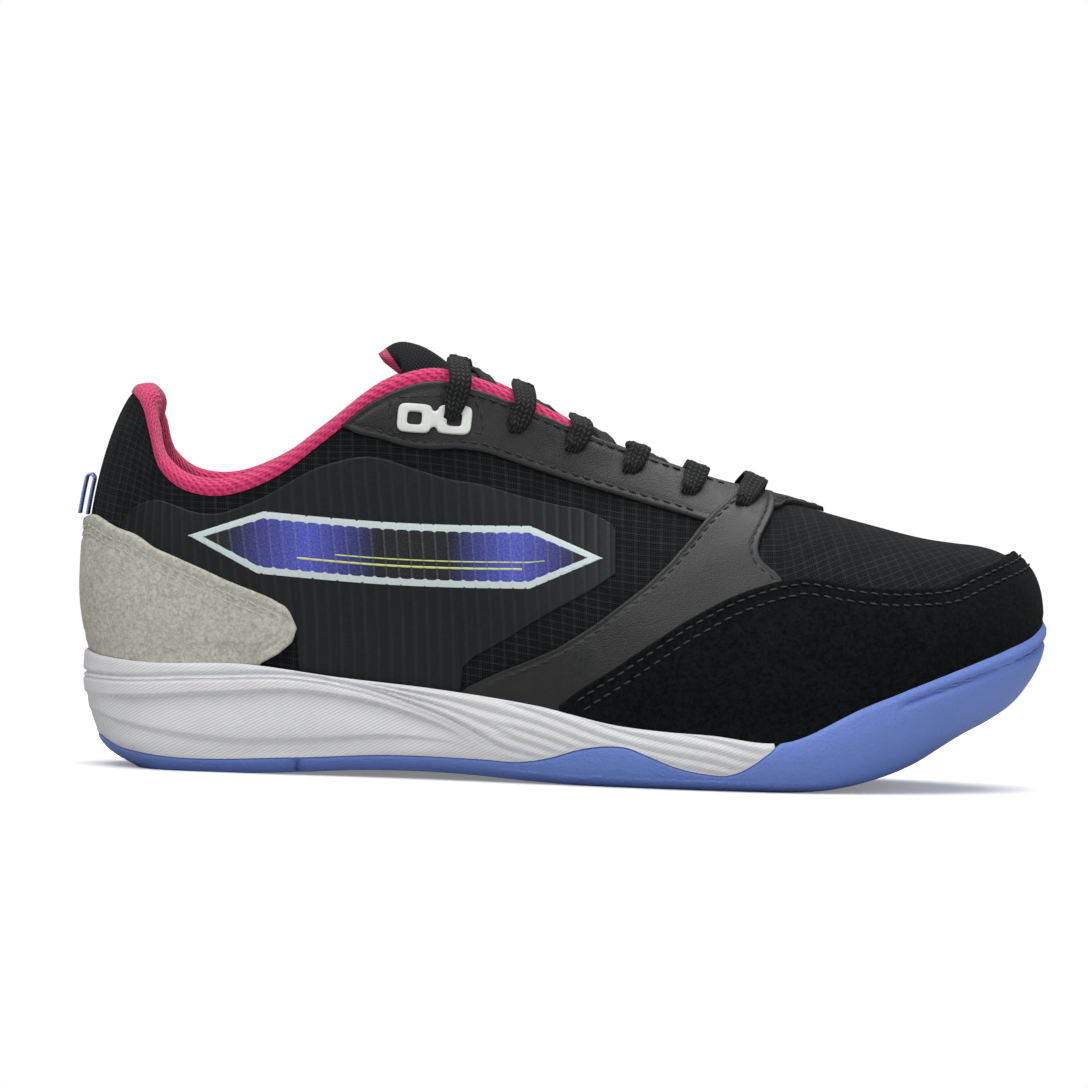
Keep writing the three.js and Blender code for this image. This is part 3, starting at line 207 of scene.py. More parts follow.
# The collar's cross-section, offsets from the upper's top edge (depth, height): over the padded
# roll, the thin roll beside the tongue, and the flat binding of the throat.
ROLL = [
    (0.5, -0.6), (0.3, 2.4), (-3.2, 4.9), (-6.8, 3), (-7.8, -4), (-7.3, -14), (-5.6, -23),
    (-4, -31),
]
THIN_ROLL = [
    (0.5, -0.6), (0.3, 2.6), (-1.9, 4.4), (-3.6, 3), (-4, -4), (-4, -14), (-4, -23), (-4, -31),
]
BINDING = [
    (0.2, -1.4), (-0.6, 0.5), (-2.2, 0.9), (-3.8, 0), (-4, -4), (-4, -14), (-4, -23), (-4, -31),
]
THIN_AT = 5.0
ROLL_END = 6.9

RIB_SPACING = 3.7  # between the mesh's raised ribs
FADE_SPAN = (-112.0, 4.0)  # where the printed fade starts and ends, in the frame
CHEVRON = 1.45  # width of one row of the lace's crossing yarns

LACE_TAIL = [(0.05, -0.06), (0.3, -0.14), (0.8, -0.2), (1.3, -0.24)]
LACE_IN = -5.85
LACE_OUT = 2.95
LACE_FLOAT = 2.2 + 0.65  # from the tongue to the middle of the lace over it
LACE_WIDTH = 6.7
LACE_BUNCHED = 4.6  # width where it bunches up to pass an eyelet
LACE_THICK = 1.7
LACE_UNDER_LACE = 1.9  # how far the lace's second run lies over its first

LOOP_HEIGHT = 11.0
LOOP_WIDTH = 11.6
LOOP_TAPE = 0.9
LOOP_OPEN = 1.4  # gap between the two runs of the pull loop
LOOP_CLEAR = 0.6


def linear(code):
    """An sRGB hex colour as linear red, green and blue."""
    parts = [int(code[i:i + 2], 16) / 255 for i in (1, 3, 5)]
    return tuple(c / 12.92 if c <= 0.04045 else ((c + 0.055) / 1.055) ** 2.4 for c in parts)


# ---------- curves ----------

def smooth(knots, period=None):
    """A smooth curve through knots (u, v1, v2, ...); periodic if a period is given."""
    rows = np.array(knots, float)
    if period:
        before, after = rows[-2:].copy(), rows[:3].copy()
        before[:, 0] -= period
        after[:, 0] += period
        rows = np.vstack([before, rows, after])
    at, value = rows[:, 0], rows[:, 1:]
    gap = np.diff(at)
    chord = np.diff(value, axis=0) / gap[:, None]
    slope = np.empty_like(value)
    slope[0], slope[-1] = chord[0], chord[-1]
    ahead, behind = gap[1:, None], gap[:-1, None]
    slope[1:-1] = (ahead * chord[:-1] + behind * chord[1:]) / (ahead + behind)
    first = knots[0][0]

    def curve(u):
        u = np.asarray(u, float)
        q = (u - first) % period + first if period else np.clip(u, at[0], at[-1])
        i = np.clip(np.searchsorted(at, q, side="right") - 1, 0, len(at) - 2)
        h = gap[i]
        t = ((q - at[i]) / h)[..., None]
        m0, m1 = slope[i] * h[..., None], slope[i + 1] * h[..., None]
        return ((2 * t ** 3 - 3 * t ** 2 + 1) * value[i] + (t ** 3 - 2 * t ** 2 + t) * m0
                + (3 * t ** 2 - 2 * t ** 3) * value[i + 1] + (t ** 3 - t ** 2) * m1)

    return curve


def value_of(knots):
    """A smooth single value along u."""
    curve = smooth(knots)
    return lambda u: curve(u)[..., 0]


def ease(v):
    v = np.clip(v, 0, 1)
    return v * v * (3 - 2 * v)


def unit(v):
    return v / np.maximum(np.linalg.norm(v, axis=-1, keepdims=True), 1e-9)


def arc_length(line):
    """Distance along a line of points, from its start to each of them."""
    return np.concatenate([[0], np.cumsum(np.linalg.norm(np.diff(line, axis=0), axis=1))])


def ridge(distance, width):
    """1 on a line and 0 away from it, over a width."""
    return np.exp(-(distance / width) ** 2)


# ---------- the upper's face ----------

def station(U):
    w = np.asarray(U, float) % LOOP
    return np.where(w <= TOE, w, LOOP - w)


centre_y = value_of(CENTRE_Y)


def medial_top():
    rows = []
    for u, x, y, z in TOP_LATERAL[1:-1]:
        side = u < THROAT_END
        rise = MEDIAL_COLLAR_RISE * ease(u / 2) * ease((7 - u) / 2) if side else 0
        rows.append((u, x, 2 * centre_y(u) - y if side else y, z + rise))
    return rows


def on_loop(lateral, medial):
    return list(lateral) + [(LOOP - u, *v) for u, *v in reversed(list(medial))]


feather = smooth(on_loop(FEATHER_LATERAL, FEATHER_MEDIAL), LOOP)
top = smooth(on_loop(TOP_LATERAL, medial_top()), LOOP)
wall_shape = smooth(WALL_SHAPE)
bed = value_of(BED)
tuck = value_of(TUCK)
underside_curve = value_of(UNDERSIDE)
outsole_top = value_of(OUTSOLE_WALL_TOP)


def outward(U):
    step = 0.05
    a, b = feather(U - step), feather(U + step)
    return unit(np.stack([b[..., 1] - a[..., 1], a[..., 0] - b[..., 0], np.zeros(np.shape(U))], -1))


def face(U, h):
    """Points of the mesh's face; below the feather line it turns in to the bed."""
    U, h = np.broadcast_arrays(np.asarray(U, float), np.asarray(h, float))
    u = station(U)
    foot, head, out = feather(U), top(U), outward(U)
    low = foot - out * tuck(u)[..., None]
    low[..., 2] = bed(low[..., 0])
    under = foot + (low - foot) * np.clip(-h, 0, 1)[..., None]
    bulge, share, reach, drop = np.moveaxis(wall_shape(u), -1, 0)
    closing = 1 - ease((u - 8.5) / 0.8)
    turn = np.where(u < 8.5, 1, np.where(u < THROAT_END, closing, ease((u - 11) / 3)))
    out_top = unit(out * np.stack([turn, np.ones_like(turn), np.zeros_like(turn)], -1))
    rise = head[..., 2] - foot[..., 2]
    p1 = foot - out * bulge[..., None]
    p1[..., 2] = foot[..., 2] + rise * share
    p2 = head + out_top * reach[..., None]
    p2[..., 2] = head[..., 2] - drop
    t = np.maximum(h, 0)[..., None]
    wall = (1 - t) ** 3 * foot + 3 * (1 - t) ** 2 * t * p1 + 3 * (1 - t) * t ** 2 * p2 + t ** 3 * head
    return np.where((h < 0)[..., None], under, wall)


def normal(U, h):
    U, h = np.broadcast_arrays(np.asarray(U, float), np.asarray(h, float))
    held = np.clip(h, 0.02, 0.98)
    along = face(U + 0.04, held) - face(U - 0.04, held)
    up = face(U, held + 0.02) - face(U, held - 0.02)
    return unit(np.cross(along, up))


def layer(U, h, depth):
    return face(U, h) + normal(U, h) * np.asarray(depth, float)[..., None]


def locate(points):
    """Stations and shares of the wall of points drawn on the outer side's view, as two arrays."""
    q = np.asarray(points, float)
    us, hs = np.meshgrid(np.arange(0, 13.01, 0.25), np.arange(0, 1.01, 0.05), indexing="ij")
    near = face(us, hs)[..., [0, 2]].reshape(-1, 2)
    k = ((q[:, None] - near[None]) ** 2).sum(-1).argmin(1)
    u, h = us.ravel()[k].copy(), hs.ravel()[k].copy()
    step = 1e-3
    for _ in range(14):
        f = face(u, h)[:, [0, 2]]
        du = (face(u + step, h)[:, [0, 2]] - f) / step
        dh = (face(u, h + step)[:, [0, 2]] - f) / step
        miss = q - f
        det = du[:, 0] * dh[:, 1] - du[:, 1] * dh[:, 0]
        det = np.where(np.abs(det) < 1e-6, 1e-6, det)
        move_u = (miss[:, 0] * dh[:, 1] - miss[:, 1] * dh[:, 0]) / det
        move_h = (du[:, 0] * miss[:, 1] - du[:, 1] * miss[:, 0]) / det
        u = np.clip(u + np.clip(move_u, -0.2, 0.2), 0, 13.5)
        h = np.clip(h + np.clip(move_h, -0.08, 0.08), 0, 1)
    return u, h


def edge_of(points):
    """An outline drawn on the side view as (u, h) knots in order of station."""
    u, h = locate(points)
    order = np.argsort(u)
    kept = [order[0]]
    for i in order[1:]:
        if u[i] - u[kept[-1]] > 0.02:
            kept.append(i)
    return [(u[i], h[i]) for i in kept]


def run_length(share):
    """Distance in millimetres along the wall, at a share of its height, from the heel: f(U)."""
    fine = np.linspace(0, LOOP, 1401)
    p = face(fine, np.full_like(fine, share))
    arc = arc_length(p)

    def run(U):
        U = np.asarray(U)
        return np.interp(U % LOOP, fine, arc) + (U // LOOP) * arc[-1]

    return run


run_at = run_length(0.45)


def cloth_of(U, H):
    """Where a point of the face lies in its cloth, in millimetres: along the wall and up it."""
    up = np.linalg.norm(face(U, np.ones_like(H)) - face(U, np.zeros_like(H)), axis=-1) * 1.12
    return np.stack([run_at(U), H * up], -1)


def shift_to_frame():
    """From the drawn place to the frame's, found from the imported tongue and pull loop."""
    tongue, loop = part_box("tongue_shell"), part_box("heel_pull_loop")
    return np.array([tongue[1].x / MM - TONGUE[0][0], (loop[0].y + loop[1].y) / (2 * MM), 0])


SHIFT = shift_to_frame()


# ---------- meshes ----------

def grid(rows, cols, close_rows=False, close_cols=False):
    """Quads of a grid of vertices numbered row by row."""
    i, j = np.meshgrid(
        np.arange(rows if close_rows else rows - 1),
        np.arange(cols if close_cols else cols - 1), indexing="ij")
    i2, j2 = (i + 1) % rows, (j + 1) % cols
    return np.stack([i * cols + j, i2 * cols + j, i2 * cols + j2, i * cols + j2], -1).reshape(-1, 4)


def shell_faces(faces, count):
    """Faces of a closed shell over an outer and an inner copy of the same vertices."""
    a = faces.ravel()
    b = np.roll(faces, -1, axis=1).ravel()
    proper = a != b
    a, b = a[proper], b[proper]
    free = ~np.isin(a.astype(np.int64) * count + b, b.astype(np.int64) * count + a)
    a, b = a[free], b[free]
    walls = np.stack([b, a, a + count, b + count], -1)
    return np.vstack([faces, faces[:, ::-1] + count, walls])


def drawn_mesh(name, points, faces, materials, cloth):
    """A mesh from drawn points in millimetres, moved to the frame, with its place in its cloth."""
    points = np.asarray(points, float).reshape(-1, 3)
    mesh = bpy.data.meshes.new(name)
    mesh.from_pydata(((points + SHIFT) * MM).tolist(), [], faces)
    if cloth is not None:
        uv = mesh.uv_layers.new(name="Cloth")
        vertex = np.empty(len(mesh.loops), np.int64)
        mesh.loops.foreach_get("vertex_index", vertex)
        place = np.asarray(cloth, float).reshape(-1, 2)[vertex]
        uv.data.foreach_set("uv", place.astype(np.float32).ravel())
    for material in materials:
        mesh.materials.append(material)
    return mesh


def riding(name, mesh, body):
    """A piece of the scene that holds a mesh and rides on a body of the frame."""
    piece = bpy.data.objects.new(name, mesh)
    bpy.context.scene.collection.objects.link(piece)
    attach(piece, body)
    return piece


def make_piece(name, points, faces, materials, body, cloth=None, sharp=50, weld=True):
    """A piece of quads, welded, whose edges over an angle in degrees stay sharp."""
    mesh = drawn_mesh(name, points, np.asarray(faces).tolist(), materials, cloth)
    if weld:
        tidy = bmesh.new()
        tidy.from_mesh(mesh)
        bmesh.ops.remove_doubles(tidy, verts=tidy.verts, dist=2e-6)
        bmesh.ops.dissolve_degenerate(tidy, edges=tidy.edges, dist=1e-6)
        bmesh.ops.recalc_face_normals(tidy, faces=tidy.faces)
        tidy.to_mesh(mesh)
        tidy.free()
    mesh.shade_smooth()
    mesh.set_sharp_from_angle(angle=math.radians(sharp))
    return riding(name, mesh, body)


def make_smooth_piece(name, points, faces, materials, body, cloth, slots):
    """A piece of faces of mixed sizes, each with a material of its own, smooth all over."""
    mesh = drawn_mesh(name, points, faces, materials, cloth)
    mesh.polygons.foreach_set("material_index", np.asarray(slots, np.int32))
    tidy = bmesh.new()
    tidy.from_mesh(mesh)
    bmesh.ops.recalc_face_normals(tidy, faces=tidy.faces)
    tidy.to_mesh(mesh)
    tidy.free()
    mesh.shade_smooth()
    return riding(name, mesh, body)


def edge_distance(p):
    """Distance of each grid point from the nearest edge of the grid, in millimetres."""
    def along(axis):
        step = np.linalg.norm(np.diff(p, axis=axis), axis=-1)
        arc = np.cumsum(step, axis=axis)
        arc = np.concatenate([np.zeros_like(np.take(arc, [0], axis)), arc], axis)
        return np.minimum(arc, np.take(arc, [-1], axis) - arc)
    return np.minimum(along(0), along(1))


def rounded(share):
    """Height of a rolled edge, from its foot (0) to its full height (1)."""
    s = np.clip(share, 0, 1)
    return 0.3 + 0.7 * np.sqrt(np.maximum(1 - (1 - s) ** 2, 0))


def bunched(count):
    """Shares from 0 to 1, closer together near the ends."""
    return 0.5 - 0.5 * np.cos(np.linspace(0, math.pi, count))


def hills(x, z, size):
    """Soft uneven swelling of hide, -1..1, over a size in millimetres."""
    k = 2 * math.pi / size
    along = np.sin(k * x + 1.3 * np.sin(k * 0.6 * z))
    return along * np.sin(k * 0.8 * z + 0.9 * np.sin(k * 0.5 * x + 1))


def patch(U, H, depths, roll=1.0, relief=None):
    """A slab of the face over a grid of (U, h): outer points, inner points and its cloth."""
    base, out = face(U, H), normal(U, H)
    d = edge_distance(base)
    rise = rounded(d / roll)
    depth = depths[0] + (depths[1] - depths[0]) * rise
    if relief is not None:
        depth = depth + relief(base, d) * rise
    return base + out * depth[..., None], base + out * depths[0], cloth_of(U, H)


def slab(name, U, H, depths, material, body="shoe", roll=1.0, relief=None):
    outer, inner, cloth = patch(U, H, depths, roll, relief)
    faces = shell_faces(grid(*U.shape), U.size)
    points = np.concatenate([outer.reshape(-1, 3), inner.reshape(-1, 3)])
    return make_piece(name, points, faces, [material], body, np.tile(cloth.reshape(-1, 2), (2, 1)))


def between_heights(us, low, high, count):
    t = bunched(count)
    U = np.repeat(us[:, None], count, 1)
    lo, hi = low(station(us)), high(station(us))
    return U, lo[:, None] + (hi - lo)[:, None] * t


def between_stations(hs, rear, front, count):
    t = bunched(count)
    H = np.repeat(hs[:, None], count, 1)
    a, b = rear(hs), front(hs)
    return (a[:, None] + (b - a)[:, None] * t).T, H.T


def same(values):
    return values


def mirrored(U):
    """The same stations on the inner side, in the order that keeps faces turned out."""
    return LOOP - U[::-1]


def reversed_rows(H):
    return H[::-1]


# Each side's name, and what it does to a grid's stations and to its shares of the wall.
SIDES = (("lateral", same, same), ("medial", mirrored, reversed_rows))


# ---------- materials ----------

def node(tree, kind, inputs=None, **settings):
    """Adds a node with its settings; inputs are values, or the sockets that feed them."""
    made = tree.nodes.new(kind)
    for key, value in settings.items():
        setattr(made, key, value)
    for key, value in (inputs or {}).items():
        if isinstance(value, bpy.types.NodeSocket):
            tree.links.new(value, made.inputs[key])
        else:
            made.inputs[key].default_value = value
    return made


def finish(name, **values):
    """A new material and its shader, with the values that are the same all over it."""
    material = bpy.data.materials.new(name)
    material.use_nodes = True
    tree = material.node_tree
    shader = tree.nodes["Principled BSDF"]
    for key, value in values.items():
        shader.inputs[key.replace("_", " ")].default_value = value
    return material, tree, shader


def band_scale(period):
    """The wave texture's scale for bands this many millimetres apart."""
    return 2 * math.pi / (20 * period)


def tone(tree, factor, dark, light):
    """A colour between two, by a factor."""
    inputs = {"Factor": factor, 6: (*dark, 1), 7: (*light, 1)}
    return node(tree, "ShaderNodeMix", inputs, data_type="RGBA").outputs[2]


def turned_place(tree, at, degrees):
    """A place turned in the plane of the cloth."""
    inputs = {"Vector": at, "Rotation": (0, 0, math.radians(degrees))}
    return node(tree, "ShaderNodeMapping", inputs).outputs[0]


def noise(tree, at, scale, detail, **more):
    """Uneven values 0..1, mostly near a half."""
    inputs = {"Vector": at, "Scale": scale, "Detail": detail, **more}
    return node(tree, "ShaderNodeTexNoise", inputs).outputs["Fac"]


def waves(tree, at, period, direction, **more):
    """Bands 0..1 across a direction, a period in millimetres apart."""
    inputs = {"Vector": at, "Scale": band_scale(period), **more}
    return node(tree, "ShaderNodeTexWave", inputs, bands_direction=direction).outputs["Color"]


def remap(tree, value, **limits):
    """A value stretched from one range to another."""
    inputs = {"Value": value, **{key.replace("_", " "): limit for key, limit in limits.items()}}
    return node(tree, "ShaderNodeMapRange", inputs).outputs[0]


def maths(tree, operation, first, second):
    return node(tree, "ShaderNodeMath", {0: first, 1: second}, operation=operation).outputs[0]


def emboss(tree, shader, height, strength, depth):
    """Bumps the surface by a height of 0..1 over a depth in millimetres."""
    bump = node(tree, "ShaderNodeBump", {"Height": height, "Strength": strength, "Distance": depth * MM})
    tree.links.new(bump.outputs[0], shader.inputs["Normal"])


def cloth_place(tree):
    """Place in the cloth, in millimetres."""
    return node(tree, "ShaderNodeUVMap", uv_map="Cloth").outputs["UV"]


def object_place(tree):
    """Place on the shoe, in millimetres."""
    at = node(tree, "ShaderNodeTexCoord").outputs["Object"]
    return node(tree, "ShaderNodeVectorMath", {0: at, "Scale": 1 / MM}, operation="SCALE").outputs[0]


def knitted(name, dark, light, rib, course, grid_lines, depth):
    """A knitted cloth: ribs, courses across them and, if asked, raised lines of a ripstop grid. Its
    colour follows their height: painted shade between the yarns, painted highlight on the crests and grid
    lines.
    """
    material, tree, shader = finish(name, Roughness=0.82, Specular_IOR_Level=0.12, Sheen_Weight=0.03)
    at = cloth_place(tree)
    ribs = waves(tree, at, rib, "X", Distortion=0.6, **{"Detail Scale": 0.8})
    courses = waves(tree, at, course, "Y", Distortion=0.8, **{"Detail Scale": 1.2})
    weave = maths(tree, "MULTIPLY", ribs, courses)
    for period, direction, weight in grid_lines:
        line = waves(tree, at, period, direction, Distortion=0.5, **{"Detail Scale": 0.3})
        peak = remap(tree, line, From_Min=0.8, From_Max=1, To_Max=weight)
        weave = maths(tree, "ADD", weave, peak)
    # Colour from the weave's height: the dark ground between the yarns is painted shade, the light crests
    # and grid lines a painted highlight.
    shade = maths(tree, "MULTIPLY", weave, noise(tree, at, 0.12, 3))
    tree.links.new(tone(tree, shade, dark, light), shader.inputs["Base Color"])
    emboss(tree, shader, weave, 0.9, depth)
    return material


def suede(name, dark, light, sheen):
    """Suede: buffed hide. Short fibres lie in small brushed patches and catch the light softly."""
    material, tree, shader = finish(name, Roughness=0.95, Specular_IOR_Level=0.08, Sheen_Weight=sheen,
                                    Sheen_Roughness=0.5)
    at = object_place(tree)
    fibre = noise(tree, at, 1.5, 5, Roughness=0.75)
    clump = noise(tree, at, 0.7, 3, Distortion=0.8)
    brushed = noise(tree, at, 0.06, 2)
    height = maths(tree, "ADD", fibre, clump)
    shade = maths(tree, "MULTIPLY", height, remap(tree, brushed, To_Min=0.88, To_Max=1.12))
    spread = remap(tree, shade, From_Min=0.78, From_Max=1.22)
    tree.links.new(tone(tree, spread, dark, light), shader.inputs["Base Color"])
    emboss(tree, shader, height, 0.75, 0.35)
    return material


def coated_leather(colours):
    """Synthetic leather: coated cloth, embossed with a fine calf grain, satin."""
    material, tree, shader = finish("synthetic leather", Specular_IOR_Level=0.45)
    at = object_place(tree)
    grain = node(tree, "ShaderNodeTexVoronoi", {"Vector": at, "Scale": 1 / 0.75, "Randomness": 1.0},
                 feature="DISTANCE_TO_EDGE").outputs["Distance"]
    pull = noise(tree, at, 0.25, 5, Distortion=1.2)
    height = maths(tree, "ADD", remap(tree, grain, From_Max=0.25), pull)
    base = tone(tree, pull, colours.leather_dark, colours.leather)
    tree.links.new(base, shader.inputs["Base Color"])
    tree.links.new(remap(tree, pull, To_Min=0.3, To_Max=0.52), shader.inputs["Roughness"])
    emboss(tree, shader, height, 0.35, 0.12)
    return material


def welded_film(colours):
    """Thermoplastic film, hot-melted on to mesh: a satin grey skin, faintly streaked along its pull, and
    paler on the ribs under it as a painted highlight.
    """
    material, tree, shader = finish("welded film", Specular_IOR_Level=0.22)
    at = cloth_place(tree)
    long_way = node(tree, "ShaderNodeMapping", {"Vector": at, "Scale": (0.5, 3.0, 1)}).outputs[0]
    streak = noise(tree, long_way, 1.0, 4)
    ribs = waves(tree, at, RIB_SPACING, "X", Distortion=1.2, **{"Detail Scale": 0.25})
    # Paler along the random streaks of the film, and paler on the ribs' crests, which is a painted
    # highlight of the relief under it.
    mixed = maths(tree, "ADD", streak, remap(tree, ribs, From_Min=0.7, From_Max=1, To_Max=0.45))
    tree.links.new(tone(tree, mixed, colours.film_dark, colours.film), shader.inputs["Base Color"])
    tree.links.new(remap(tree, streak, To_Min=0.3, To_Max=0.5), shader.inputs["Roughness"])
    emboss(tree, shader, mixed, 0.4, 0.15)
    return material


def print_ink(colours):
    """Screen-printed ink, fading from smoke grey to violet-blue, with the mesh's ribs showing as a
    painted highlight.
    """
    material, tree, shader = finish("screen printed fade", Roughness=0.55, Specular_IOR_Level=0.2)
    along = node(tree, "ShaderNodeSeparateXYZ", {"Vector": object_place(tree)}).outputs["X"]
    fade = remap(tree, along, From_Min=FADE_SPAN[0], From_Max=FADE_SPAN[1])
    ramp = node(tree, "ShaderNodeValToRGB", {"Fac": fade})
    stops = [
        (0.0, colours.smoke), (0.12, colours.smoke), (0.32, colours.violet), (0.5, colours.smoke),
        (0.68, colours.smoke), (0.84, colours.violet), (1.0, colours.smoke),
    ]
    while len(ramp.color_ramp.elements) < len(stops):
        ramp.color_ramp.elements.new(0.5)
    for element, (place_at, colour) in zip(ramp.color_ramp.elements, stops):
        element.position = place_at
        element.color = (*colour, 1)
    at = cloth_place(tree)
    grain = noise(tree, at, 1.6, 4)
    ribs = waves(tree, at, RIB_SPACING, "X", Distortion=1.0, **{"Detail Scale": 0.3})
    # The rib crests are tinted towards the pale ink: a painted highlight on the ribs under the print.
    lines = remap(tree, ribs, From_Min=0.9, From_Max=1, To_Max=0.08)
    speck = remap(tree, grain, From_Min=0.35, From_Max=0.75, To_Min=0.55, To_Max=1.25)
    inputs = {"Factor": lines, 6: ramp.outputs["Color"], 7: (*colours.outline, 1)}
    lit = node(tree, "ShaderNodeMix", inputs, data_type="RGBA").outputs[2]
    dim = node(tree, "ShaderNodeVectorMath", {0: lit, "Scale": speck}, operation="SCALE").outputs[0]
    tree.links.new(dim, shader.inputs["Base Color"])
    return material


def printed_line(name, colour):
    """Opaque screen ink, slightly raised, with the grain of the mesh under it."""
    material, tree, shader = finish(name, Roughness=0.5, Specular_IOR_Level=0.4)
    grain = noise(tree, object_place(tree), 1.4, 4)
    base = tone(tree, grain, tuple(c * 0.82 for c in colour), colour)
    tree.links.new(base, shader.inputs["Base Color"])
    emboss(tree, shader, grain, 0.3, 0.1)
    return material


def spacer_mesh(name, dark, light):
    """Spacer mesh: a thick two-faced knit with a honeycomb of small holes, soft and matt; its holes and
    the grooves between its rows are darkened with painted shade.
    """
    material, tree, shader = finish(name, Roughness=0.8, Specular_IOR_Level=0.25, Sheen_Weight=0.25)
    at = cloth_place(tree)
    cells = node(tree, "ShaderNodeTexVoronoi",
                 {"Vector": at, "Scale": 1 / 1.25, "Randomness": 0.25}).outputs["Distance"]
    hole = remap(tree, cells, From_Min=0.12, From_Max=0.5)
    rows = waves(tree, at, 1.3, "DIAGONAL", Distortion=0.7, **{"Detail Scale": 1.0})
    height = maths(tree, "ADD", hole, rows)
    # Colour follows the relief: the holes and the grooves between rows take painted shade.
    shade = remap(tree, height, From_Min=0.3, From_Max=1.5)
    tree.links.new(tone(tree, shade, dark, light), shader.inputs["Base Color"])
    emboss(tree, shader, height, 0.8, 0.35)
    return material


def moulded_rubber(colours):
    """Moulded rubber: satin, with a fine spark-eroded pebble and paler where it is rubbed."""
    material, tree, shader = finish("moulded rubber", Specular_IOR_Level=0.4)
    at = object_place(tree)
    pebble = noise(tree, at, 1.1, 3, Roughness=0.6)
    cloudy = noise(tree, at, 0.05, 3)
    base = tone(tree, cloudy, colours.rubber_dark, colours.rubber)
    tree.links.new(base, shader.inputs["Base Color"])
    tree.links.new(remap(tree, cloudy, To_Min=0.42, To_Max=0.6), shader.inputs["Roughness"])
    emboss(tree, shader, pebble, 1.0, 0.5)
    return material


def moulded_foam(colours):
    """Moulded EVA foam: matt white skin with fine slanted lines from the mould's engraved face, darkened
    by painted shade in the lines and by an uneven random tone.
    """
    material, tree, shader = finish("moulded foam", Roughness=0.58, Specular_IOR_Level=0.35,
                                    Subsurface_Weight=0.08, Subsurface_Scale=0.002)
    at = cloth_place(tree)
    slanted = turned_place(tree, at, 62)
    lines = waves(tree, slanted, 0.85, "X", Distortion=0.15)
    # Darker in the engraved lines: painted shade of their grooves, times an uneven random tone.
    shade = maths(tree, "MULTIPLY", lines, noise(tree, at, 0.09, 4))
    tree.links.new(tone(tree, shade, colours.foam_painted_shade, colours.foam), shader.inputs["Base Color"])
    emboss(tree, shader, lines, 0.55, 0.16)
    return material


def braid(name, dark, light):
    """Flat tubular braid: polyester yarns crossing in chevrons down its length, with painted shade
    between the yarns.
    """
    material, tree, shader = finish(name, Roughness=0.72, Specular_IOR_Level=0.2, Sheen_Weight=0.05)
    at = cloth_place(tree)
    parts = node(tree, "ShaderNodeSeparateXYZ", {"Vector": at})
    across = maths(tree, "PINGPONG", parts.outputs["X"], CHEVRON)
    folded = node(tree, "ShaderNodeCombineXYZ", {"X": across, "Y": parts.outputs["Y"]}).outputs[0]
    yarns = waves(tree, turned_place(tree, folded, 40), 1.15, "Y")
    height = maths(tree, "MULTIPLY", yarns, waves(tree, at, CHEVRON, "X"))
    # Colour follows the yarns' height: painted shade in the depths between them.
    tree.links.new(tone(tree, height, dark, light), shader.inputs["Base Color"])
    emboss(tree, shader, height, 0.9, 0.4)
    return material


def webbing(colours):
    """Woven nylon tape, navy, with a paler selvedge down both edges."""
    material, tree, shader = finish("woven tape", Roughness=0.7, Specular_IOR_Level=0.35,
                                    Sheen_Weight=0.2)
    at = cloth_place(tree)
    weft = waves(tree, at, 0.8, "Y")
    side = node(tree, "ShaderNodeSeparateXYZ", {"Vector": at}).outputs["X"]
    edge = node(tree, "ShaderNodeMath", {0: side}, operation="ABSOLUTE").outputs[0]
    pale = remap(tree, edge, From_Min=4.4, From_Max=4.8)
    tree.links.new(tone(tree, pale, colours.tape, colours.tape_edge), shader.inputs["Base Color"])
    emboss(tree, shader, weft, 0.7, 0.2)
    return material


def plain_grain(name, colour, roughness, grain, depth):
    """A moulded or pressed stuff with a fine even grain of its own."""
    material, tree, shader = finish(name, Roughness=roughness, Specular_IOR_Level=0.4)
    speck = noise(tree, object_place(tree), 1 / grain, 4)
    base = tone(tree, speck, tuple(c * 0.8 for c in colour), colour)
    tree.links.new(base, shader.inputs["Base Color"])
    emboss(tree, shader, speck, 0.4, depth)
    return material


def make_finishes(colours):
    """Every finish of the shoe by a short name."""
    return {
        "ripstop": knitted("ribbed ripstop mesh", colours.mesh_painted_shade, colours.mesh, 0.7, 0.62,
                           [(RIB_SPACING, "X", 0.45), (2.3, "Y", 0.6)], 0.22),
        "tongue mesh": knitted("ribbed tongue mesh", colours.mesh_painted_shade, colours.mesh, 1.1, 1.5, [], 0.3),
        "grey suede": suede("grey suede", colours.grey_suede_dark, colours.grey_suede, 0.08),
        "black suede": suede("black suede", colours.black_suede_dark, colours.black_suede, 0.02),
        "leather": coated_leather(colours),
        "film": welded_film(colours),
        "fade": print_ink(colours),
        "outline": printed_line("pale screen ink", tuple(colours.outline)),
        "pinstripe": printed_line("lime screen ink", tuple(colours.pinstripe)),
        "pink": spacer_mesh("pink spacer mesh", colours.pink_painted_shade, colours.pink),
        "rubber": moulded_rubber(colours),
        "foam": moulded_foam(colours),
        "lace": braid("flat braid", colours.lace_painted_shade, colours.lace),
        "tape": webbing(colours),
        "plastic": plain_grain("moulded polyurethane", tuple(colours.plastic), 0.32, 3.0, 0.05),
        "board": plain_grain("pressed fibre board", linear("#C9BFA8"), 0.9, 0.6, 0.2),
        "pad foam": plain_grain("open-cell foam", linear("#D9CB9A"), 0.95, 0.5, 0.4),
        "dark thread": plain_grain("dark polyester thread", linear("#2C2D2E"), 0.6, 0.3, 0.1),
        "grey thread": plain_grain("grey polyester thread", linear("#C6C4B8"), 0.7, 0.3, 0.1),
    }


# ---------- sole ----------

wall_stand = smooth(WALL)


def standout(U, share):
    heel, side, toe = np.moveaxis(wall_stand(share), -1, 0)
    u = station(U)
    return side + (heel - side) * (1 - ease(u / 2.4)) + (toe - side) * ease((u - 9.4) / 4.2)


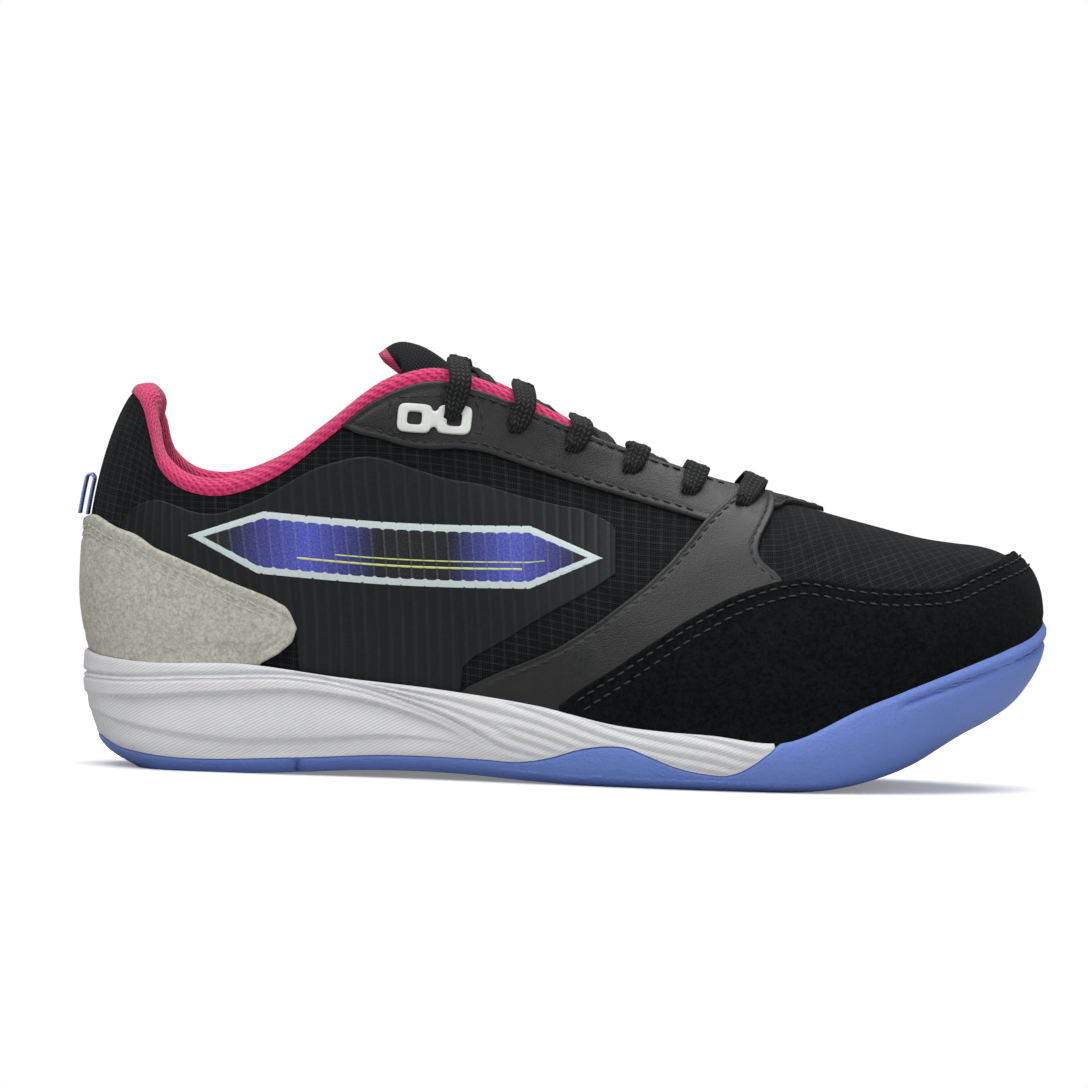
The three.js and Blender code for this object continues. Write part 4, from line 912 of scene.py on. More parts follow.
def pushed_out(U, distance, z):
    foot, out = feather(U), outward(U)
    d = np.broadcast_to(distance, np.shape(U))
    x, y = (foot[..., k] + out[..., k] * d for k in (0, 1))
    return np.stack([x, y, np.broadcast_to(z, np.shape(U))], -1)


def sole_limits(U):
    floor = np.maximum(underside_curve(pushed_out(U, standout(U, np.zeros_like(U)), 0)[..., 0]), 0)
    rim = feather(U)[..., 2]
    split = np.where(station(U) > WHOLE_WALL, rim, np.minimum(outsole_top(feather(U)[..., 0]), rim))
    tray = np.minimum(floor + TREAD_THICK, split - 0.6)
    seat = bed(pushed_out(U, -tuck(station(U)) - 2, 0)[..., 0])
    return floor, rim, split, tray, seat


def wall_at(U, z, extra=0.0):
    floor, rim, *_ = sole_limits(U)
    share = np.clip((z - floor) / (rim - floor), 0, 1)
    return pushed_out(U, standout(U, share) + extra, z)


def cup_depth(U, z):
    floor, rim, *_ = sole_limits(U)
    share = np.clip((z - floor) / (rim - floor), 0, 1)
    return np.minimum(standout(U, share) - CUP_WALL, LIP_IN - tuck(station(U)) - LAYER_GAP)


def sole_solid(name, us, side, across, under, finish_made, **more):
    """A closed solid through cross-sections; side(U) gives one side's points, from below to above."""
    lateral, medial = side(us), side(LOOP - us)

    def bridge(a, b, count):
        t = np.linspace(0, 1, count + 2)[1:-1, None]
        return a[:, None] * (1 - t) + b[:, None] * t

    low = under(bridge(medial[:, 0], lateral[:, 0], across))
    high = bridge(lateral[:, -1], medial[:, -1], 6)
    ring = np.concatenate([low, lateral, high, medial[:, ::-1]], 1)
    run_l, run_m = run_at(us), run_at(LOOP - us)
    count = lateral.shape[1]
    uv = np.concatenate([
        low[..., :2],
        np.stack([np.repeat(run_l[:, None], count, 1), lateral[..., 2]], -1),
        high[..., :2],
        np.stack([np.repeat(run_m[:, None], count, 1), medial[:, ::-1, 2]], -1)], 1)
    faces = grid(*ring.shape[:2], close_cols=True)
    return make_piece(name, ring, faces, [finish_made], "shoe", uv, **more)


# Lines of the midsole's moulding on the side view: (x, z).
BEAD_LINE = [
    (0, 27.4), (8.8, 27.1), (40, 28.6), (66.1, 29.2), (78, 27.6), (89.8, 25), (100, 21.8), (110.7, 17.8),
    (120, 13), (128.8, 8.2), (140, 2),
]
bead_line = value_of(BEAD_LINE)


def midsole_relief(p, rim, split):
    """How far the midsole's moulding stands out, in millimetres, at points of its wall."""
    x, z = p[..., 0], p[..., 2]
    line = bead_line(x)
    below = line - z
    ahead = ease((x - 118) / 16)
    rear = 1 - ease((x - 96) / 24)
    lip = np.interp(x, [0, 50, 100], [5.6, 4.6, 2.4])
    share = np.clip((below - lip) / np.maximum(line - lip - split, 2.0), 0, 1)
    ledge = ease((below - lip) / 1.3) * (1 - ease(share / 0.7)) * -2.3
    lens_top = 0.5 + 0.2 * np.sin((x - 20) / 26)
    lens = -1.1 * ease((share - lens_top) / 0.12) * (1 - ease((share - lens_top) / 0.45))
    creases = -1.1 * ridge(below, 0.5) - 0.6 * ridge(below - 1.5, 0.35)
    above = np.clip((rim - z) / np.maximum(rim - line, 0.5), 0, 1)
    flow = 1.2 * (np.abs(np.sin(math.pi * 3 * above)) - 0.7) * ease((x - 76) / 22)
    flow = flow * np.clip(-below / 1.2, 0, 1)
    fan = 0.9 * (np.abs(np.sin(math.pi * ((rim - z) - 0.12 * (x - 118)) / 3.3)) - 0.6)
    fade = 0.35 + 0.65 * ease((x - 5) / 14)
    tall = np.clip((z - split) / 1.4, 0, 1) * np.clip((rim - z) / 1.0, 0, 1)
    return (((ledge + lens) * rear * fade + creases + flow) * (1 - ahead) + fan * ahead) * tall


def rolled_top(z, edge, radius, most):
    """How far a wall draws back as it rolls over its top edge."""
    t = np.clip((z - (edge - radius)) / radius, 0, 1)
    return -most * (1 - np.sqrt(np.maximum(1 - t ** 2, 0)))


def build_midsole(finishes):
    us = np.linspace(0, TOE, 321)
    rows = 72

    def side(U):
        _, rim, split, tray, seat = sole_limits(U)
        top_z = seat - LAYER_GAP
        step = np.minimum(split + 0.05, rim)
        thin = ease((1.6 - (rim - split)) / 1.2)
        made = []
        for t in np.linspace(0, 1, 5):
            z = (tray + LAYER_GAP) * (1 - t) + step * t
            made.append(pushed_out(U, cup_depth(U, z - LAYER_GAP) - LAYER_GAP, z))
        for t in np.linspace(0, 1, rows):
            z = step * (1 - t) + rim * t
            p = wall_at(U, z)
            out = midsole_relief(p, rim, split) + rolled_top(z, rim, 1.3, 0.9) - 4.2 * thin
            made.append(wall_at(U, z, out))
        made.append(pushed_out(U, LIP_IN - 4.2 * thin, rim - 0.1))
        made.append(pushed_out(U, LIP_IN - 4.2 * thin, np.minimum(top_z, rim - 0.2)))
        return np.stack(made, 1)

    piece = sole_solid("midsole_foam", us, side, 3, lambda p: p, finishes["foam"], sharp=60)
    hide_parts("midsole")


def tread(p):
    """The sole's underside with its grooves: herringbone under heel and ball, a plain waist."""
    x, y = p[..., 0], p[..., 1]
    z = np.maximum(underside_curve(x), 0)
    across = np.arange(p.shape[1]) / (p.shape[1] - 1)
    rim_fade = ease(np.minimum(across, 1 - across) / 0.06)[None]
    zigzag = x + 5.5 * np.abs(((y / 14) % 1) - 0.5) * 2
    bars = ridge(np.abs((zigzag / 6.2) % 1 - 0.5) * 6.2, 0.9)
    pads = 1 - ridge(x - 104, 22)
    flex = np.maximum(ridge(x - 66, 1.1), ridge(x - 150, 1.1))
    q = p.copy()
    q[..., 2] = z + (1.1 * bars * pads + 1.3 * flex).clip(0, 1.4) * rim_fade
    return q


def toe_groove(x, rim):
    """Height of the groove that the toe's stitches lie in."""
    return rim - 3.6 - 1.2 * ease((x - 250) / 25)


def rubber_relief(p, rim, floor, station_at):
    """Moulding of the blue wall: the toe's stitched groove, a bead above it and a stepped foot."""
    x, z = p[..., 0], p[..., 2]
    groove_z = toe_groove(x, rim)
    ahead = ease((x - 238) / 6)
    groove = -1.2 * ridge(z - groove_z, 0.7) * ahead
    bead = 0.3 * ridge(z - (groove_z + 2), 1.1) * ahead
    foot = 0.35 * (1 - ease((z - floor - 2.6) / 0.7)) * ease((x - 120) / 12) * (1 - ease((x - 218) / 10))
    split_notch = -2.2 * ridge(x - 66, 0.9) * (1 - ease((z - floor - 3) / 1.5))
    return groove + bead + foot + split_notch * (station_at < 6)


def build_outsole(finishes):
    us = np.linspace(0, TOE, 337)
    rows = 22

    def side(U):
        floor, rim, split, tray, seat = sole_limits(U)
        made = []
        for t in np.linspace(0, 1, rows):
            z = floor * (1 - t) + split * t
            p = wall_at(U, z)
            out = rubber_relief(p, rim, floor, station(U)) + rolled_top(z, split, 1.2, 0.8)
            made.append(wall_at(U, z, out))
        holds = split > seat
        made.append(pushed_out(U, np.where(holds, LIP_IN, cup_depth(U, split)), split - 0.05))
        start = np.where(holds, seat - 0.6, split - 0.1)
        for t in np.linspace(0, 1, 5):
            z = start * (1 - t) + tray * t
            made.append(pushed_out(U, cup_depth(U, z), z))
        return np.stack(made, 1)

    piece = sole_solid("outsole_rubber", us, side, 72, tread, finishes["rubber"], sharp=55)
    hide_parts("outsole")


# ---------- upper ----------

def ribs_at(U):
    """Height of the mesh's raised ribs, 0..1, spaced along the wall."""
    return ridge(((run_at(U) / RIB_SPACING) % 1 - 0.5) * RIB_SPACING, 0.42)


def build_upper_mesh(finishes):
    half = np.linspace(0, TOE, 421)
    U = np.concatenate([half, LOOP - half[-2:0:-1]])
    hs = np.concatenate([[-0.4, -0.15], np.linspace(0, 1, 46)])
    u_grid, h_grid = np.meshgrid(U, hs, indexing="ij")
    base, out = face(u_grid, h_grid), normal(u_grid, h_grid)
    ribs = 0.24 * ribs_at(u_grid) * ease((9.6 - station(u_grid)) / 1.2) * ease((1 - h_grid) / 0.05)
    outer = base + out * ribs[..., None]
    rows, cols = u_grid.shape
    faces = grid(rows, cols, close_rows=True)
    ids = np.arange(rows * cols).reshape(rows, cols)
    closed = np.nonzero(half >= THROAT_END)[0]
    for i in closed:
        if 0 < i < len(half) - 1:
            ids[rows - i, -1] = ids[i, -1]
            out[i, -1] = unit(out[i, -1] + out[rows - i, -1])
    faces = ids.ravel()[faces]
    inner = base - out * MESH_THICK
    count = rows * cols
    cloth = cloth_of(u_grid, h_grid).reshape(-1, 2)
    points = np.concatenate([outer.reshape(-1, 3), inner.reshape(-1, 3)])
    piece = make_piece("upper_mesh", points, shell_faces(faces, count), [finishes["ripstop"]], "shoe",
                       np.tile(cloth, (2, 1)))
    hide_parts("quarter_mesh_lateral", "quarter_mesh_medial", "vamp_mesh")


def sewn(rows, depth=0.28, amount=0.12, size=24):
    """Relief of a sewn overlay: grooves pulled in by stitching, and the hide's own swelling."""
    def relief(p, d):
        pull = sum(ridge(d - at, 0.7) for at in rows)
        return amount * hills(p[..., 0], p[..., 2] + p[..., 1], size) - depth * pull
    return relief


def heel_grid():
    high = value_of(edge_of(HEEL_SUEDE_TOP))
    under_u, under_h = locate(HEEL_SUEDE_UNDER)
    order = np.argsort(under_u)
    tip = max(under_u.max(), edge_of(HEEL_SUEDE_TOP)[-1][0])
    knots_u = np.concatenate([[under_u[order[0]] - 0.15], under_u[order]])
    knots_h = np.concatenate([[-0.3], under_h[order]])
    outer_side = tip * np.sin(np.linspace(0, math.pi / 2, 90))
    us = np.concatenate([-outer_side[::-1], outer_side[1:]])

    def low(u):
        return np.minimum(np.interp(u, knots_u, knots_h, left=-0.3), high(u) - 0.01)

    return between_heights(us, low, high, 54)


def cap_knots():
    return [k for k in edge_of(TOE_CAP_TOP) if k[0] < 11.6] + TOE_CAP_TIP


def build_overlays(finishes):
    piece = slab("heel_suede", *heel_grid(), HEEL_DEPTH, finishes["grey suede"], roll=0.8,
                 relief=sewn(HEEL_SEAMS, 0.45, 0.16, 30))
    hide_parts("heel_overlay")

    cap = cap_knots()
    start = cap[0][0]
    us = start + (LOOP - 2 * start) * bunched(321)
    cap_grid = between_heights(us, lambda u: np.full_like(u, -0.3), value_of(cap), 40)
    piece = slab("toe_cap_suede", *cap_grid, CAP_DEPTH, finishes["black suede"], roll=0.9,
                 relief=sewn(CAP_SEAMS, 0.32, 0.14, 34))
    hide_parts("toe_cap")

    rear_u, rear_h = locate(SADDLE_REAR)
    front_u, front_h = locate(SADDLE_FRONT)
    front_order = np.argsort(front_h)

    def rear(h):
        return np.interp(h, np.append(rear_h, 1.0), np.append(rear_u, rear_u[-1] + 0.12))

    front = value_of([(front_h[i], front_u[i]) for i in front_order])
    hs = -0.3 + 1.3 * bunched(110)
    U, H = between_stations(hs, rear, front, 70)
    stay = edge_of(EYESTAY_LOW)
    stay_low = value_of(stay)
    stay_us = stay[0][0] + 0.02 + (8.5 - stay[0][0]) * bunched(170)
    US, HS = between_heights(stay_us, lambda u: np.minimum(stay_low(u), 0.985), np.ones_like, 26)
    for side, turn, flip in SIDES:
        piece = slab("saddle_leather_" + side, turn(U), flip(H), SADDLE_DEPTH, finishes["leather"],
                     roll=0.9, relief=sewn((SADDLE_SEAM,), 0.22, 0.16, 40))
        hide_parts("saddle_" + side)
        piece = slab("eyestay_leather_" + side, turn(US), flip(HS), LEATHER, finishes["leather"],
                     roll=0.8, relief=sewn((EYESTAY_SEAM,), 0.22, 0.14, 30))
        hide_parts("eyestay_" + side)


def build_throat_patch(finishes):
    """A patch over the end of the throat: split round it, and whole from there towards the toe."""
    low = value_of(THROAT_PATCH_LOW)
    us = np.linspace(THROAT_PATCH_LOW[0][0], THROAT_PATCH_LOW[-1][0], 60)
    half = 25
    left, right = half - 1, half
    lo = low(us)
    lateral = lo[:, None] + (1 - lo)[:, None] * bunched(half)
    U = np.concatenate([np.repeat(us[:, None], half, 1), np.repeat(LOOP - us[:, None], half, 1)], 1)
    H = np.concatenate([lateral, lateral[:, ::-1]], 1)
    base, out = face(U, H), normal(U, H)
    out[:, left] = out[:, right] = unit(out[:, left] + out[:, right])
    split = us < THROAT_END
    d = np.minimum(edge_distance(base), 50)
    middle = np.linalg.norm(base - base[:, [left]], axis=-1)
    on_left = np.arange(2 * half)[None, :, None] < half
    throat = np.where(on_left, base[:, [left]], base[:, [right]])
    from_throat = np.linalg.norm(base - throat, axis=-1)
    d = np.where(split[:, None], np.minimum(d, from_throat), d)
    rise = rounded(d / 0.8)
    groove = 0.25 * ridge(d - EYESTAY_SEAM, 0.7) * (middle > 4)
    depth = PATCH_DEPTH[0] + (PATCH_DEPTH[1] - PATCH_DEPTH[0]) * rise - groove
    outer, inner = base + out * depth[..., None], base + out * PATCH_DEPTH[0]
    faces = grid(*U.shape)
    cols = U.shape[1]
    row, col = faces[:, 0] // cols, faces[:, 0] % cols
    faces = faces[~((col == left) & split[row])]
    points = np.concatenate([outer.reshape(-1, 3), inner.reshape(-1, 3)])
    cloth = np.tile(cloth_of(U, H).reshape(-1, 2), (2, 1))
    piece = make_piece("throat_patch_leather", points, shell_faces(faces, U.size),
                       [finishes["leather"]], "shoe", cloth)
    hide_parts("throat_patch")


def film_grid():
    knots = edge_of(FILM_TOP)
    high = value_of(knots)
    front = edge_of(FILM_FRONT)
    heel = value_of(edge_of(HEEL_SUEDE_TOP))
    heel_tip = edge_of(HEEL_SUEDE_TOP)[-1][0]
    front_u = [k[0] for k in front]
    front_h = [k[1] for k in front]

    def low(u):
        behind = np.where(u < heel_tip, heel(np.minimum(u, heel_tip)) - 0.05, -0.25)
        ahead = np.interp(u, front_u, front_h)
        return np.minimum(np.where(u > front_u[0], ahead, behind), high(u) - 0.004)

    last = min(knots[-1][0], front_u[-1]) - 0.01
    us = knots[0][0] + (last - knots[0][0]) * bunched(330)
    return between_heights(us, low, high, 44)


# The printed shape: its middle line on the side view (x, z) and its half width along it.
BAR_LINE = [(0, 33, 68.6), (0.5, 93, 65.2), (1, 153, 65.6)]
BAR_LENGTH = 120.0
BAR_HALF = 9.0
BAR_POINT = 21.0  # length of the taper at each end
OUTLINE_WIDTH = 1.7
RIB_SHOWN = 0.2  # height of the mesh's ribs as they show through the film and the ink


def bar_grid(inset, count_s=420, count_w=16, lanes=(-1, 1), span=(0, 1)):
    """(U, h) grid of the tapered bar, drawn in by an inset; lanes are the share of its width used."""
    line = smooth(BAR_LINE)
    slope = BAR_HALF / BAR_POINT
    drawn_in = inset * math.hypot(1, slope) / slope
    full = BAR_LENGTH - 2 * drawn_in
    along = drawn_in + full * np.linspace(*span, count_s)
    from_end = np.minimum(along, BAR_LENGTH - along) - drawn_in
    half = np.clip(from_end * slope, 0.15, BAR_HALF - inset)
    s = along / BAR_LENGTH
    mid = line(s)
    run = unit(line(s + 0.01) - line(s - 0.01))
    across = np.stack([-run[:, 1], run[:, 0]], -1)
    w = np.linspace(lanes[0], lanes[1], count_w)
    points = mid[:, None] + across[:, None] * (half[:, None] * w)[..., None]
    u, h = locate(points.reshape(-1, 2))
    return u.reshape(count_s, count_w), h.reshape(count_s, count_w)


def build_film_and_print(finishes):
    U, H = film_grid()
    inside = OUTLINE_WIDTH + 0.6
    low_line = bar_grid(inside, count_w=3, lanes=(-0.56, -0.47), span=(0.24, 0.84))
    high_line = bar_grid(inside, count_w=3, lanes=(-0.26, -0.2), span=(0.34, 0.9))
    bars = [
        ("print_outline", bar_grid(0), (0.5, 0.72), "outline"),
        ("print_fade", bar_grid(OUTLINE_WIDTH), (0.62, 0.84), "fade"),
        ("print_line_low", low_line, (0.8, 1.05), "pinstripe"),
        ("print_line_high", high_line, (0.8, 1.05), "pinstripe"),
    ]

    def ribbed(rib):
        """Relief of a skin that follows the mesh's ribs under it."""
        return lambda p, d: rib

    for side, turn, flip in SIDES:
        piece = slab("side_film_skin_" + side, turn(U), flip(H), FILM_DEPTH, finishes["film"], roll=0.5,
                     relief=ribbed(RIB_SHOWN * ribs_at(turn(U))))
        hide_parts("side_film_" + side)
        for name, (u, h), depths, ink in bars:
            piece = slab(name + "_" + side, turn(u), flip(h), depths, finishes[ink], roll=0.3,
                         relief=ribbed(RIB_SHOWN * ribs_at(turn(u))))


def superellipse(a, b, count, power):
    t = np.linspace(0, 2 * math.pi, count, endpoint=False)
    c, s = np.cos(t), np.sin(t)
    return np.stack([a * np.sign(c) * np.abs(c) ** power, b * np.sign(s) * np.abs(s) ** power], -1)


PLATE_EYE = (2.1, 1.9)  # half sizes of the eye's square hole
PLATE_RIM = (4.9, 4.1)  # and of the square ring round it
PLATE_TILT = math.radians(-3)


def build_eyelet_plates(finishes):
    """Two square eyes joined by a waist, on each side of the throat."""
    around = 44
    inner_edge = superellipse(*PLATE_EYE, around, 0.42)
    outer_edge = superellipse(*PLATE_RIM, around, 0.42)
    low, high = PLATE_DEPTH
    profile = [
        (0.0, low), (0.0, high - 0.35), (0.1, high - 0.05), (0.22, high), (0.78, high),
        (0.93, high - 0.12), (1.0, high - 0.45), (1.0, low),
    ]
    cos, sin = math.cos(PLATE_TILT), math.sin(PLATE_TILT)
    turn = np.array([[cos, sin], [-sin, cos]])
    along, up = np.linspace(0, 1, 13), np.linspace(-1, 1, 11)
    for side in ("lateral", "medial"):
        points, faces, first = [], [], 0
        for centre in PLATE_RINGS:
            rings = [inner_edge * (1 - s) + outer_edge * s for s, _ in profile]
            flat = np.stack(rings, 1) @ turn + centre
            depth = np.repeat(np.array([d for _, d in profile])[None], around, 0)
            u, h = locate(flat.reshape(-1, 2))
            U = u if side == "lateral" else LOOP - u
            points.append(layer(U, h, depth.ravel()))
            faces.append(grid(around, len(profile), True, True) + first)
            first += around * len(profile)
        a = np.array(PLATE_RINGS[0]) + (4.2, 0)
        b = np.array(PLATE_RINGS[1]) - (4.2, 0)
        width = 2.2 + 1.5 * (2 * along - 1) ** 2
        line = a + (b - a) * along[:, None]
        flat = line[:, None] + np.array([0, 1]) * (width[:, None] * up)[..., None]
        u, h = locate(flat.reshape(-1, 2))
        shape = (len(along), len(up))
        U = (u if side == "lateral" else LOOP - u).reshape(shape)
        H = h.reshape(shape)
        crown = high - 0.12 - 0.5 * np.abs(up[None]) ** 4 * np.ones((len(along), 1))
        points += [layer(U, H, crown).reshape(-1, 3), layer(U, H, np.full(shape, low)).reshape(-1, 3)]
        faces.append(shell_faces(grid(*shape), U.size) + first)
        piece = make_piece("eyelet_plate_moulded_" + side, np.concatenate(points), np.concatenate(faces),
                           [finishes["plastic"]], "shoe", sharp=40)
        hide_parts("eyelet_plate_" + side)


# ---------- collar, tongue, sockliner ----------

def collar_point(U, depth, height):
    wall = np.linalg.norm(top(U) - feather(U), axis=-1)
    p = layer(U, np.clip(1 + np.minimum(height, 0) / wall, 0, 1), depth)
    up = unit(face(U, np.ones_like(U)) - face(U, np.full_like(U, 0.93)))
    return p + up * np.maximum(height, 0)[..., None]


def collar_rows(U):
    """Cross-section of the lining at each U: over the roll and down inside to the bed."""
    u = station(U)[:, None, None]
    roll, thin, flat = (np.array(t, float)[None] for t in (ROLL, THIN_ROLL, BINDING))
    padded = thin + (roll - thin) * ease(THIN_AT - u)
    row = flat + (padded - flat) * ease((ROLL_END - u) / 0.8)
    steps = np.concatenate([np.linspace(0, 3, 19)[:-1], np.linspace(3, 7, 17)])
    made = []
    for s in steps:
        i = int(min(max(math.floor(s), 0), 6))
        t = s - i
        a, b, c, d = (row[:, min(max(i + k, 0), 7)] for k in (-1, 0, 1, 2))
        bend = (2 * a - 5 * b + 4 * c - d) * t ** 2 + (3 * b - a - 3 * c + d) * t ** 3
        q = 0.5 * (2 * b + (c - a) * t + bend)
        made.append(collar_point(U, q[:, 0], q[:, 1]))
    start = 1 + ROLL[-1][1] / np.linalg.norm(top(U) - feather(U), axis=-1)
    for h in (0.5, 0.26, 0, -0.5, -1):
        made.append(layer(U, np.minimum(h, start - 0.03), np.full_like(U, LINING_IN)))
    return np.stack(made, 1)


def grid_normals(p):
    along = np.gradient(p, axis=0)
    up = np.gradient(p, axis=1)
    return unit(np.cross(along, up))


def inflate(piece, held, pressure, most):
    """Fills a piece by cloth simulation: held vertices stay, and no point moves more than most (mm)."""
    rest = np.array([v.co for v in piece.data.vertices])
    sewn_down = piece.vertex_groups.new(name="sewn")
    sewn_down.add([int(i) for i in np.nonzero(held(rest / MM - SHIFT))[0]], 1.0, "REPLACE")
    cloth = piece.modifiers.new("stuffing", "CLOTH")
    settings = cloth.settings
    settings.use_pressure = True
    settings.uniform_pressure_force = pressure
    settings.effector_weights.gravity = 0
    settings.vertex_group_mass = "sewn"
    settings.mass = 0.3
    settings.tension_stiffness = settings.compression_stiffness = 15
    settings.bending_stiffness = 0.5
    cloth.point_cache.frame_start, cloth.point_cache.frame_end = 1, 20
    scene = bpy.context.scene
    for number in range(1, 21):
        scene.frame_set(number)
    shown = piece.evaluated_get(bpy.context.evaluated_depsgraph_get()).to_mesh()
    after = np.array([v.co for v in shown.vertices])
    piece.modifiers.remove(cloth)
    scene.frame_set(1)
    move = after - rest
    far = np.linalg.norm(move, axis=1, keepdims=True)
    move *= np.minimum(1, most * MM / np.maximum(far, 1e-9))
    piece.data.vertices.foreach_set("co", (rest + move).astype(np.float32).ravel())
    piece.data.update()


def build_collar(finishes):
    end = THROAT_END - 0.02
    side = np.concatenate([np.linspace(-end, -ROLL_END, 50)[:-1], np.linspace(-ROLL_END, ROLL_END, 401),
                           np.linspace(ROLL_END, end, 50)[1:]])
    U = side + LOOP
    outer = collar_rows(U)
    rows, cols = outer.shape[:2]
    out = grid_normals(outer)
    inner = outer - out * 0.8
    steps = np.linalg.norm(np.diff(outer, axis=1), axis=-1)
    arc = np.concatenate([np.zeros((rows, 1)), np.cumsum(steps, 1)], 1)
    uv = np.stack([np.repeat(run_at(U)[:, None], cols, 1) * 0.92, arc], -1)
    faces = shell_faces(grid(rows, cols), rows * cols)
    points = np.concatenate([outer.reshape(-1, 3), inner.reshape(-1, 3)])
    piece = make_piece("collar_padded_lining", points, faces, [finishes["pink"]], "shoe",
                       np.tile(uv.reshape(-1, 2), (2, 1)), weld=False)
    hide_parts("collar_lining", "collar_foam")


def tongue_rings():
    """Points of the tongue: (rings, round its section, 3), with each point's side of the tongue."""
    table = smooth([(-x, z, half, thick, crown) for x, z, half, thick, crown in TONGUE])
    xs = np.linspace(-TONGUE[0][0], -TONGUE[-1][0], 110)
    z, half, thick, crown = np.moveaxis(table(xs), -1, 0)
    x = -xs
    slope = np.gradient(z, x)
    up = unit(np.stack([-slope, np.zeros_like(x), np.ones_like(x)], -1))
    throat = np.interp(x, *np.transpose(THROAT_X))
    middle = np.stack([x, centre_y(throat), z], -1)
    end = np.clip((x - TONGUE[-1][0]) / 9, 0, 1)
    half = half * (0.6 + 0.4 * np.sqrt(1 - (1 - end) ** 2))
    tip = np.clip((x - TONGUE[-1][0]) / 2.4, 0, 1)
    thick = (thick + 3.0 * (1 - end)) * (0.4 + 0.6 * np.sqrt(1 - (1 - tip) ** 2))
    t = np.linspace(0, 2 * math.pi, 72, endpoint=False)
    q = np.sign(np.cos(t)) * np.abs(np.cos(t)) ** 0.75
    w = np.sign(np.sin(t)) * np.abs(np.sin(t)) ** 0.55
    across = half[:, None] * q
    depth = thick[:, None] / 2 * (w - 1) - crown[:, None] * across ** 2
    p = middle[:, None] + up[:, None] * depth[..., None]
    p[..., 1] += across
    return p, w, x


def build_tongue(finishes):
    p, w, x = tongue_rings()
    rings, around = p.shape[:2]
    arc = arc_length(p[:, 18])
    turn = np.linspace(0, 96, around, endpoint=False)
    uv = np.stack(np.meshgrid(arc, turn, indexing="ij"), -1)
    ends = np.stack([p[0].mean(0), p[-1].mean(0)])
    faces = grid(rings, around, close_cols=True)
    points = np.concatenate([p.reshape(-1, 3), ends])
    uvs = np.concatenate([uv.reshape(-1, 2), [[0, 0], [arc[-1], 0]]])
    first, last = np.arange(around), np.arange(around) + (rings - 1) * around
    caps = [[int(b), int(a), rings * around] for a, b in zip(first, np.roll(first, -1))]
    caps += [[int(a), int(b), rings * around + 1] for a, b in zip(last, np.roll(last, -1))]
    all_faces = faces.tolist() + caps
    col = faces[:, 0] % around
    behind = x[faces[:, 0] // around] < TONGUE[-1][0] + 2.6
    lining = np.concatenate([((w[col] < -0.2) | behind).astype(int), np.ones(len(caps), int)])
    piece = make_smooth_piece("tongue_padded", points, all_faces,
                              [finishes["tongue mesh"], finishes["pink"]], "tongue", uvs, lining)
    inflate(piece, lambda q: q[:, 0] > TONGUE_SEWN_X, 3.0, 1.0)
    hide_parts("tongue_shell", "tongue_foam", "tongue_lining")


def build_sockliner(finishes):
    """The sockliner's cloth top: dished up at its rim round the heel, flat under the toes."""
    bottom = BOARD_CLEAR + BOARD_THICK + LAYER_GAP + SOCK_FOAM + LAYER_GAP
    us = np.linspace(0.0, TOE, 150)

    def side(U, height, inset):
        fade = 1 - ease((station(U) - 4) / 3)
        p = pushed_out(U, INSOLE_DEPTH - tuck(station(U)) - inset, 0)
        lift = 3 * fade * (1 - inset / 9) ** 2
        p[..., 2] = bed(p[..., 0]) + bottom + height + lift
        return p

    def half(U, height):
        insets = 9 * (1 - np.cos(np.linspace(0, math.pi / 2, 9)))
        tucked = [height - 0.35] + [height] * (len(insets) - 1)
        return np.stack([side(U, z, inset) for z, inset in zip(tucked, insets)], 1)

    def surface(height):
        a, b = half(us, height), half(LOOP - us, height)
        t = np.linspace(0, 1, 24)[1:-1, None]
        mid = a[:, -1][:, None] * (1 - t) + b[:, -1][:, None] * t
        return np.concatenate([a, mid, b[:, ::-1]], 1)

    upper, lower = surface(SOCK_CLOTH), surface(0.0)
    rows, cols = upper.shape[:2]
    points = np.concatenate([upper.reshape(-1, 3), lower.reshape(-1, 3)])
    piece = make_piece("sockliner_cloth", points, shell_faces(grid(rows, cols), rows * cols),
                       [finishes["pink"]], "sockliner", points[:, :2])
    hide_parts("sockliner_cover")


# ---------- pull loop and lace ----------

def strap(name, centre, flat, width, thick, material, body, ribs=0):
    """A flat strap along a line of points; flat is the direction its face looks, at each point."""
    along = unit(np.gradient(centre, axis=0))
    flat = unit(flat - along * (flat * along).sum(-1, keepdims=True))
    across = np.cross(along, flat)
    count = 26
    t = np.linspace(0, 2 * math.pi, count, endpoint=False)
    q = np.sign(np.cos(t)) * np.abs(np.cos(t)) ** 0.6
    w = np.sign(np.sin(t)) * np.abs(np.sin(t)) ** 0.7
    swell = 1 + (0.16 * np.cos(ribs * math.pi * q) if ribs else 0)
    half = np.asarray(width)[:, None] / 2 if np.ndim(width) else np.full((len(centre), 1), width / 2)
    sideways = across[:, None] * (half * q)[..., None]
    through = flat[:, None] * (thick / 2 * w * swell)[None, :, None]
    ring = centre[:, None] + sideways + through
    n = len(centre)
    arc = arc_length(centre)
    uv = np.stack([np.repeat((q * np.max(half))[None], n, 0), np.repeat(arc[:, None], count, 1)], -1)
    points = np.concatenate([ring.reshape(-1, 3), centre[[0, -1]]])
    uvs = np.concatenate([uv.reshape(-1, 2), [[0, 0], [0, arc[-1]]]])
    faces = grid(n, count, close_cols=True).tolist()
    last = (n - 1) * count
    faces += [[(j + 1) % count, j, n * count] for j in range(count)]
    faces += [[last + j, last + (j + 1) % count, n * count + 1] for j in range(count)]
    return make_smooth_piece(name, points, faces, [material], body, uvs, np.zeros(len(faces), int))


